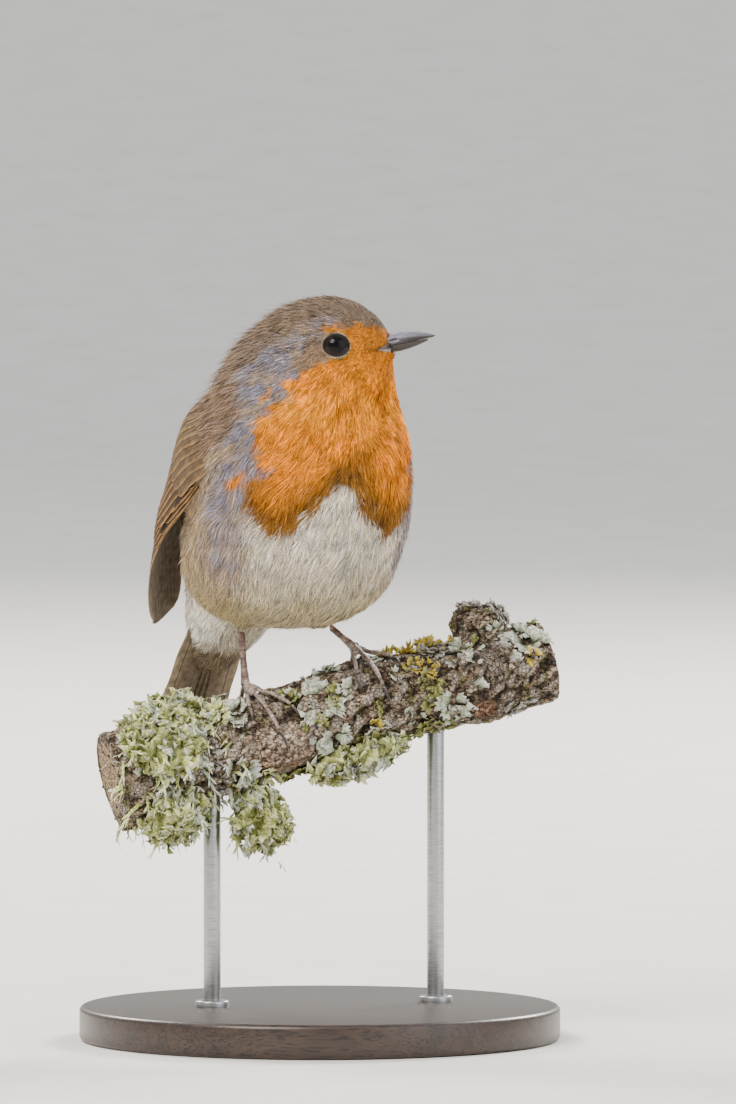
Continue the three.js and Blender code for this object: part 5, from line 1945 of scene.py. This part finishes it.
# %% Rosettes
SMALL_CLUSTERS = 80
FOOT_ROOM = 1.5
small = []
for _ in range(SMALL_CLUSTERS):
    kind = chance.choice(["leafy", "grey", "olive", "yellow"], p=[0.45, 0.3, 0.19, 0.06])
    spot = (chance.uniform(-46, 51), chance.uniform(-180, 180))
    radius, count, length = chance.uniform(1.2, 3.2), chance.integers(4, 9), chance.uniform(1.4, 2.4)
    small.append((*spot, radius, count, length, 0.35, kind))
rosettes = []
for along, round_, radius, count, length, stand, kind in LICHEN_CLUSTERS + small:
    axis = branch_middle(np.array(float(along)))
    outward = off_branch(round_)
    hit = growth_tree.ray_cast(axis + outward * 30, -outward, 40)
    centre, normal = np.array(hit[0]), np.array(hit[1])
    for _ in range(count):
        spread = chance.normal(size=3)
        spread = unit(spread - normal * (spread @ normal))
        share = math.sqrt(chance.uniform())
        root = centre + spread * radius * share * 0.85
        direction = unit(spread + chance.normal(0, 0.35, 3))
        size = length * chance.uniform(0.55, 1.1) * lerp(0.75, 1, share)
        if FOOT_TREE.find_nearest(root)[3] < FOOT_ROOM:
            continue
        if any(np.linalg.norm(root - spot) < room for spot, room in BARE_SPOTS):
            continue
        tilt = stand * chance.uniform(0.4, 1.3) + 0.35 * (1 - share) * stand
        rosettes.append((*lay_lobe(growth_tree, root, direction, size, tilt, chance), kind))
print(len(rosettes), "lobes in the rosettes")

# %% Ruffles on the cushions
CUSHION_LOBES = 820
ruffles = []
cushion_spots = np.concatenate([points_of(cushion) for cushion in cushions])
for _ in range(CUSHION_LOBES // (1)):
    root = cushion_spots[chance.integers(len(cushion_spots))]
    direction = unit(chance.normal(size=3))
    kind = chance.choice(["shrubby", "shrubby", "shrubby", "leafy", "olive"])
    size = chance.uniform(1.3, 2.9)
    ruffles.append((*lay_lobe(growth_tree, root, direction, size, chance.uniform(0.3, 1.0), chance), kind))

# %% [markdown]
# ### Thallus
#
# A lichen's body is dry and chalky, without shine. Powder on it makes a fine grain.

# %% Material of the lichens
thallus = new_material("dry_lichen_thallus", Roughness=0.85, Specular_IOR_Level=0.25)
painted = add_node(thallus, "Attribute", {"attribute_name": "lichen"})
powder = grain(thallus, 1.8, Detail=4.0).outputs["Fac"]
colour = darkened(thallus, painted.outputs["Color"], powder, [(0.3, "#9d9d94"), (0.65, "#ffffff")])
finish_surface(thallus, colour, powder, 0.5, 0.15)
for cushion, node in zip(cushions, LICHEN_NODES):
    finished(cushion, thallus, [node])
finished(lobe_object("lichen_rosettes", rosettes), thallus)
finished(lobe_object("lichen_ruffles", ruffles), thallus)

# %% [markdown]
# ### Straps
#
# Shrubby lichens also hang in narrow forked straps. Each strap is a ribbon that leaves the surface, sinks
# under its own weight, waves a little, and splits into two curled tips.

# %% Grow the straps
STRAPS = 420
STRAP_STEPS = 6
FORK = 4


def strap(root, normal, chance):
    """Points and faces of one forked ribbon, and the share of its length at each point."""
    length, wide = chance.uniform(3, 7.5), chance.uniform(0.35, 0.6)
    ahead = unit(normal * 0.8 + chance.normal(0, 0.5, 3))
    beside = unit(np.cross(ahead, chance.normal(size=3)))
    place, line = np.array(root) - normal * 0.4, []
    for _ in range(STRAP_STEPS + 1):
        line.append(place)
        ahead = unit(ahead - UP * 0.22 + chance.normal(0, 0.25, 3))
        place = place + ahead * length / STRAP_STEPS
    points, faces, shares = [], [], []
    for half in (-1, 1):
        for i, station in enumerate(line):
            parted = max(i - FORK, 0) * 0.5 * half
            narrow = wide * (1 if i < FORK else 0.75 if i < STRAP_STEPS else 0.25)
            middle = station + beside * parted + np.cross(ahead, beside) * 0.2 * parted * half
            inner = 0.0 if i <= FORK else -narrow * half * 0.8
            points += [middle + beside * inner, middle + beside * (narrow * half)]
            shares += [i / STRAP_STEPS] * 2
        first = 0 if half < 0 else 2 * len(line)
        faces += [[first + 2 * i + corner for corner in (0, 1, 3, 2)] for i in range(STRAP_STEPS)]
    return points, faces, shares


strap_points, strap_faces, strap_tones = [], [], []
bushy = points_of(branch)
bushy = np.concatenate([bushy[bushy[:, 0] < -17], *[points_of(cushion)[::2] for cushion in cushions[:4]]])
for _ in range(STRAPS):
    root, normal, _, _ = growth_tree.find_nearest(bushy[chance.integers(len(bushy))])
    if root[0] < SAWN_ENDS[0] + 0.5 or FOOT_TREE.find_nearest(root)[3] < 3 * FOOT_ROOM:
        continue
    points, faces, shares = strap(np.array(root), np.array(normal), chance)
    strap_faces += [[len(strap_points) + index for index in face] for face in faces]
    strap_points += points
    tone = 0.3 + 0.75 * np.array(shares) + chance.normal(0, 0.12)
    strap_tones.append(tones(tone, LICHEN_TONES[chance.choice(["shrubby", "shrubby", "leafy"])]))
straps = mesh_object("lichen_straps", np.array(strap_points), strap_faces)
store_colours(straps.data, "lichen", np.concatenate(strap_tones))
finished(straps, thallus)

# %% [markdown]
# ### Fruits
#
# Black specks on the bark are the fruits of crusty lichens. Each is a small bead, pressed a little out of
# round.

# %% Black fruits on the bark
FRUITS = 420
bead = start_piece("bead", bpy.ops.mesh.primitive_ico_sphere_add, subdivisions=1, radius=1)
BEAD, BEAD_FACES = taken_apart(bead)
fruit_points = []
bark_spots, bark_normals = points_of(branch), normals_of(branch)
for _ in range(FRUITS):
    spot = chance.integers(len(bark_spots))
    size = chance.uniform(0.2, 0.48)
    middle = bark_spots[spot] + bark_normals[spot] * size * 0.3
    fruit_points.append(middle + BEAD * size * chance.uniform(0.7, 1.1, 3))
fruits = mesh_object("lichen_fruits", np.concatenate(fruit_points), repeated(BEAD_FACES, len(BEAD), FRUITS))
black = new_material("black_lichen_fruit", Roughness=0.6)
tone = add_node(
    black, "ValToRGB", inputs={"Fac": grain(black, 0.9).outputs["Fac"]},
    stops=[(0.35, "#1b1613"), (0.7, "#4a4038")],
)
link(black, tone.outputs["Color"], "Base Color")
finished(fruits, black)

# %% [markdown]
# ## Stand
#
# The base is a turned disc of oiled walnut with a small bevel, and two rods of brushed stainless steel
# carry the branch. Grain runs along one direction through the whole disc, because it is cut from a single
# board: broad figure, and fine open pores. Brushing leaves hairlines round a rod, drawn coarser than life
# so that they show. The rods pass through thin steel collars.

# %% Walnut and steel
walnut = new_material("oiled_walnut", Roughness=0.38, Coat_Weight=0.25, Coat_Roughness=0.25)
figure = grain(walnut, 0.15, stretch=(0.08, 1, 1), Detail=4.0, Distortion=1.2)
pores = grain(walnut, 2.2, stretch=(0.15 / 2.2, 1, 1), Detail=2.0).outputs["Fac"]
tone = add_node(
    walnut, "ValToRGB", inputs={"Fac": figure.outputs["Fac"]},
    stops=[(0.3, "#221711"), (0.5, "#3a281c"), (0.58, "#2a1c14"), (0.75, "#4a3424")],
)
colour = darkened(walnut, tone.outputs["Color"], pores, [(0.36, "#6a6a6a"), (0.48, "#ffffff")])
finish_surface(walnut, colour, pores, 0.15, 0.2)

steel = new_material("brushed_stainless_steel", Metallic=1.0, Roughness=0.3)
brushing = grain(steel, 0.3, stretch=(1, 1, 20), Detail=2.0).outputs["Fac"]
tone = add_node(steel, "ValToRGB", inputs={"Fac": brushing}, stops=[(0.3, "#8f9092"), (0.7, "#b9babb")])
finish_surface(steel, tone.outputs["Color"], brushing, 0.1, 0.05)

# %% Base, rods and collars
ROD_RADIUS = 2 * MM
COLLAR_RADIUS = 4 * MM
COLLAR_HEIGHT = 2 * MM
SUNK = 0.5 * MM


def turned_disc(name, foot, radius, height, bevel, sides):
    """An upright disc on its foot, with both rims bevelled."""
    disc = start_piece(
        name, bpy.ops.mesh.primitive_cylinder_add,
        vertices=sides, radius=radius, depth=height, location=foot + Vector((0, 0, height / 2)),
    )
    bpy.ops.object.transform_apply()
    modify(disc, "BEVEL", width=bevel, segments=4, limit_method="ANGLE", angle_limit=math.radians(60))
    only(disc)
    bpy.ops.object.shade_smooth_by_angle(angle=math.radians(30))
    return disc


base_low, base_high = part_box("stand_base")
base_radius = (base_high.x - base_low.x) / 2
base = turned_disc("walnut_base", Vector((0, 0, 0)), base_radius, base_high.z, 1.2 * MM, 160)
finished(base, walnut, ["stand_base"])
for number in (1, 2):
    low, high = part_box(f"stand_rod_{number}")
    foot = Vector(((low.x + high.x) / 2, (low.y + high.y) / 2, base_high.z - SUNK))
    rod = turned_disc(f"steel_rod_{number}", foot, ROD_RADIUS, high.z - foot.z, 0.2 * MM, 40)
    collar = turned_disc(f"steel_collar_{number}", foot, COLLAR_RADIUS, COLLAR_HEIGHT, 0.4 * MM, 48)
    finished(rod, steel, [f"stand_rod_{number}"])
    finished(collar, steel)

# %% [markdown]
# ## Size
#
# The box of the visual model is measured once more and kept beside the solids' box, because feathers and
# lichen stand a little outside them.

# %% Size of the visual model against the solids
size = {name: [list(corner) for corner in box] for name, box in (("cad", CAD_BOX), ("visual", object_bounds()))}
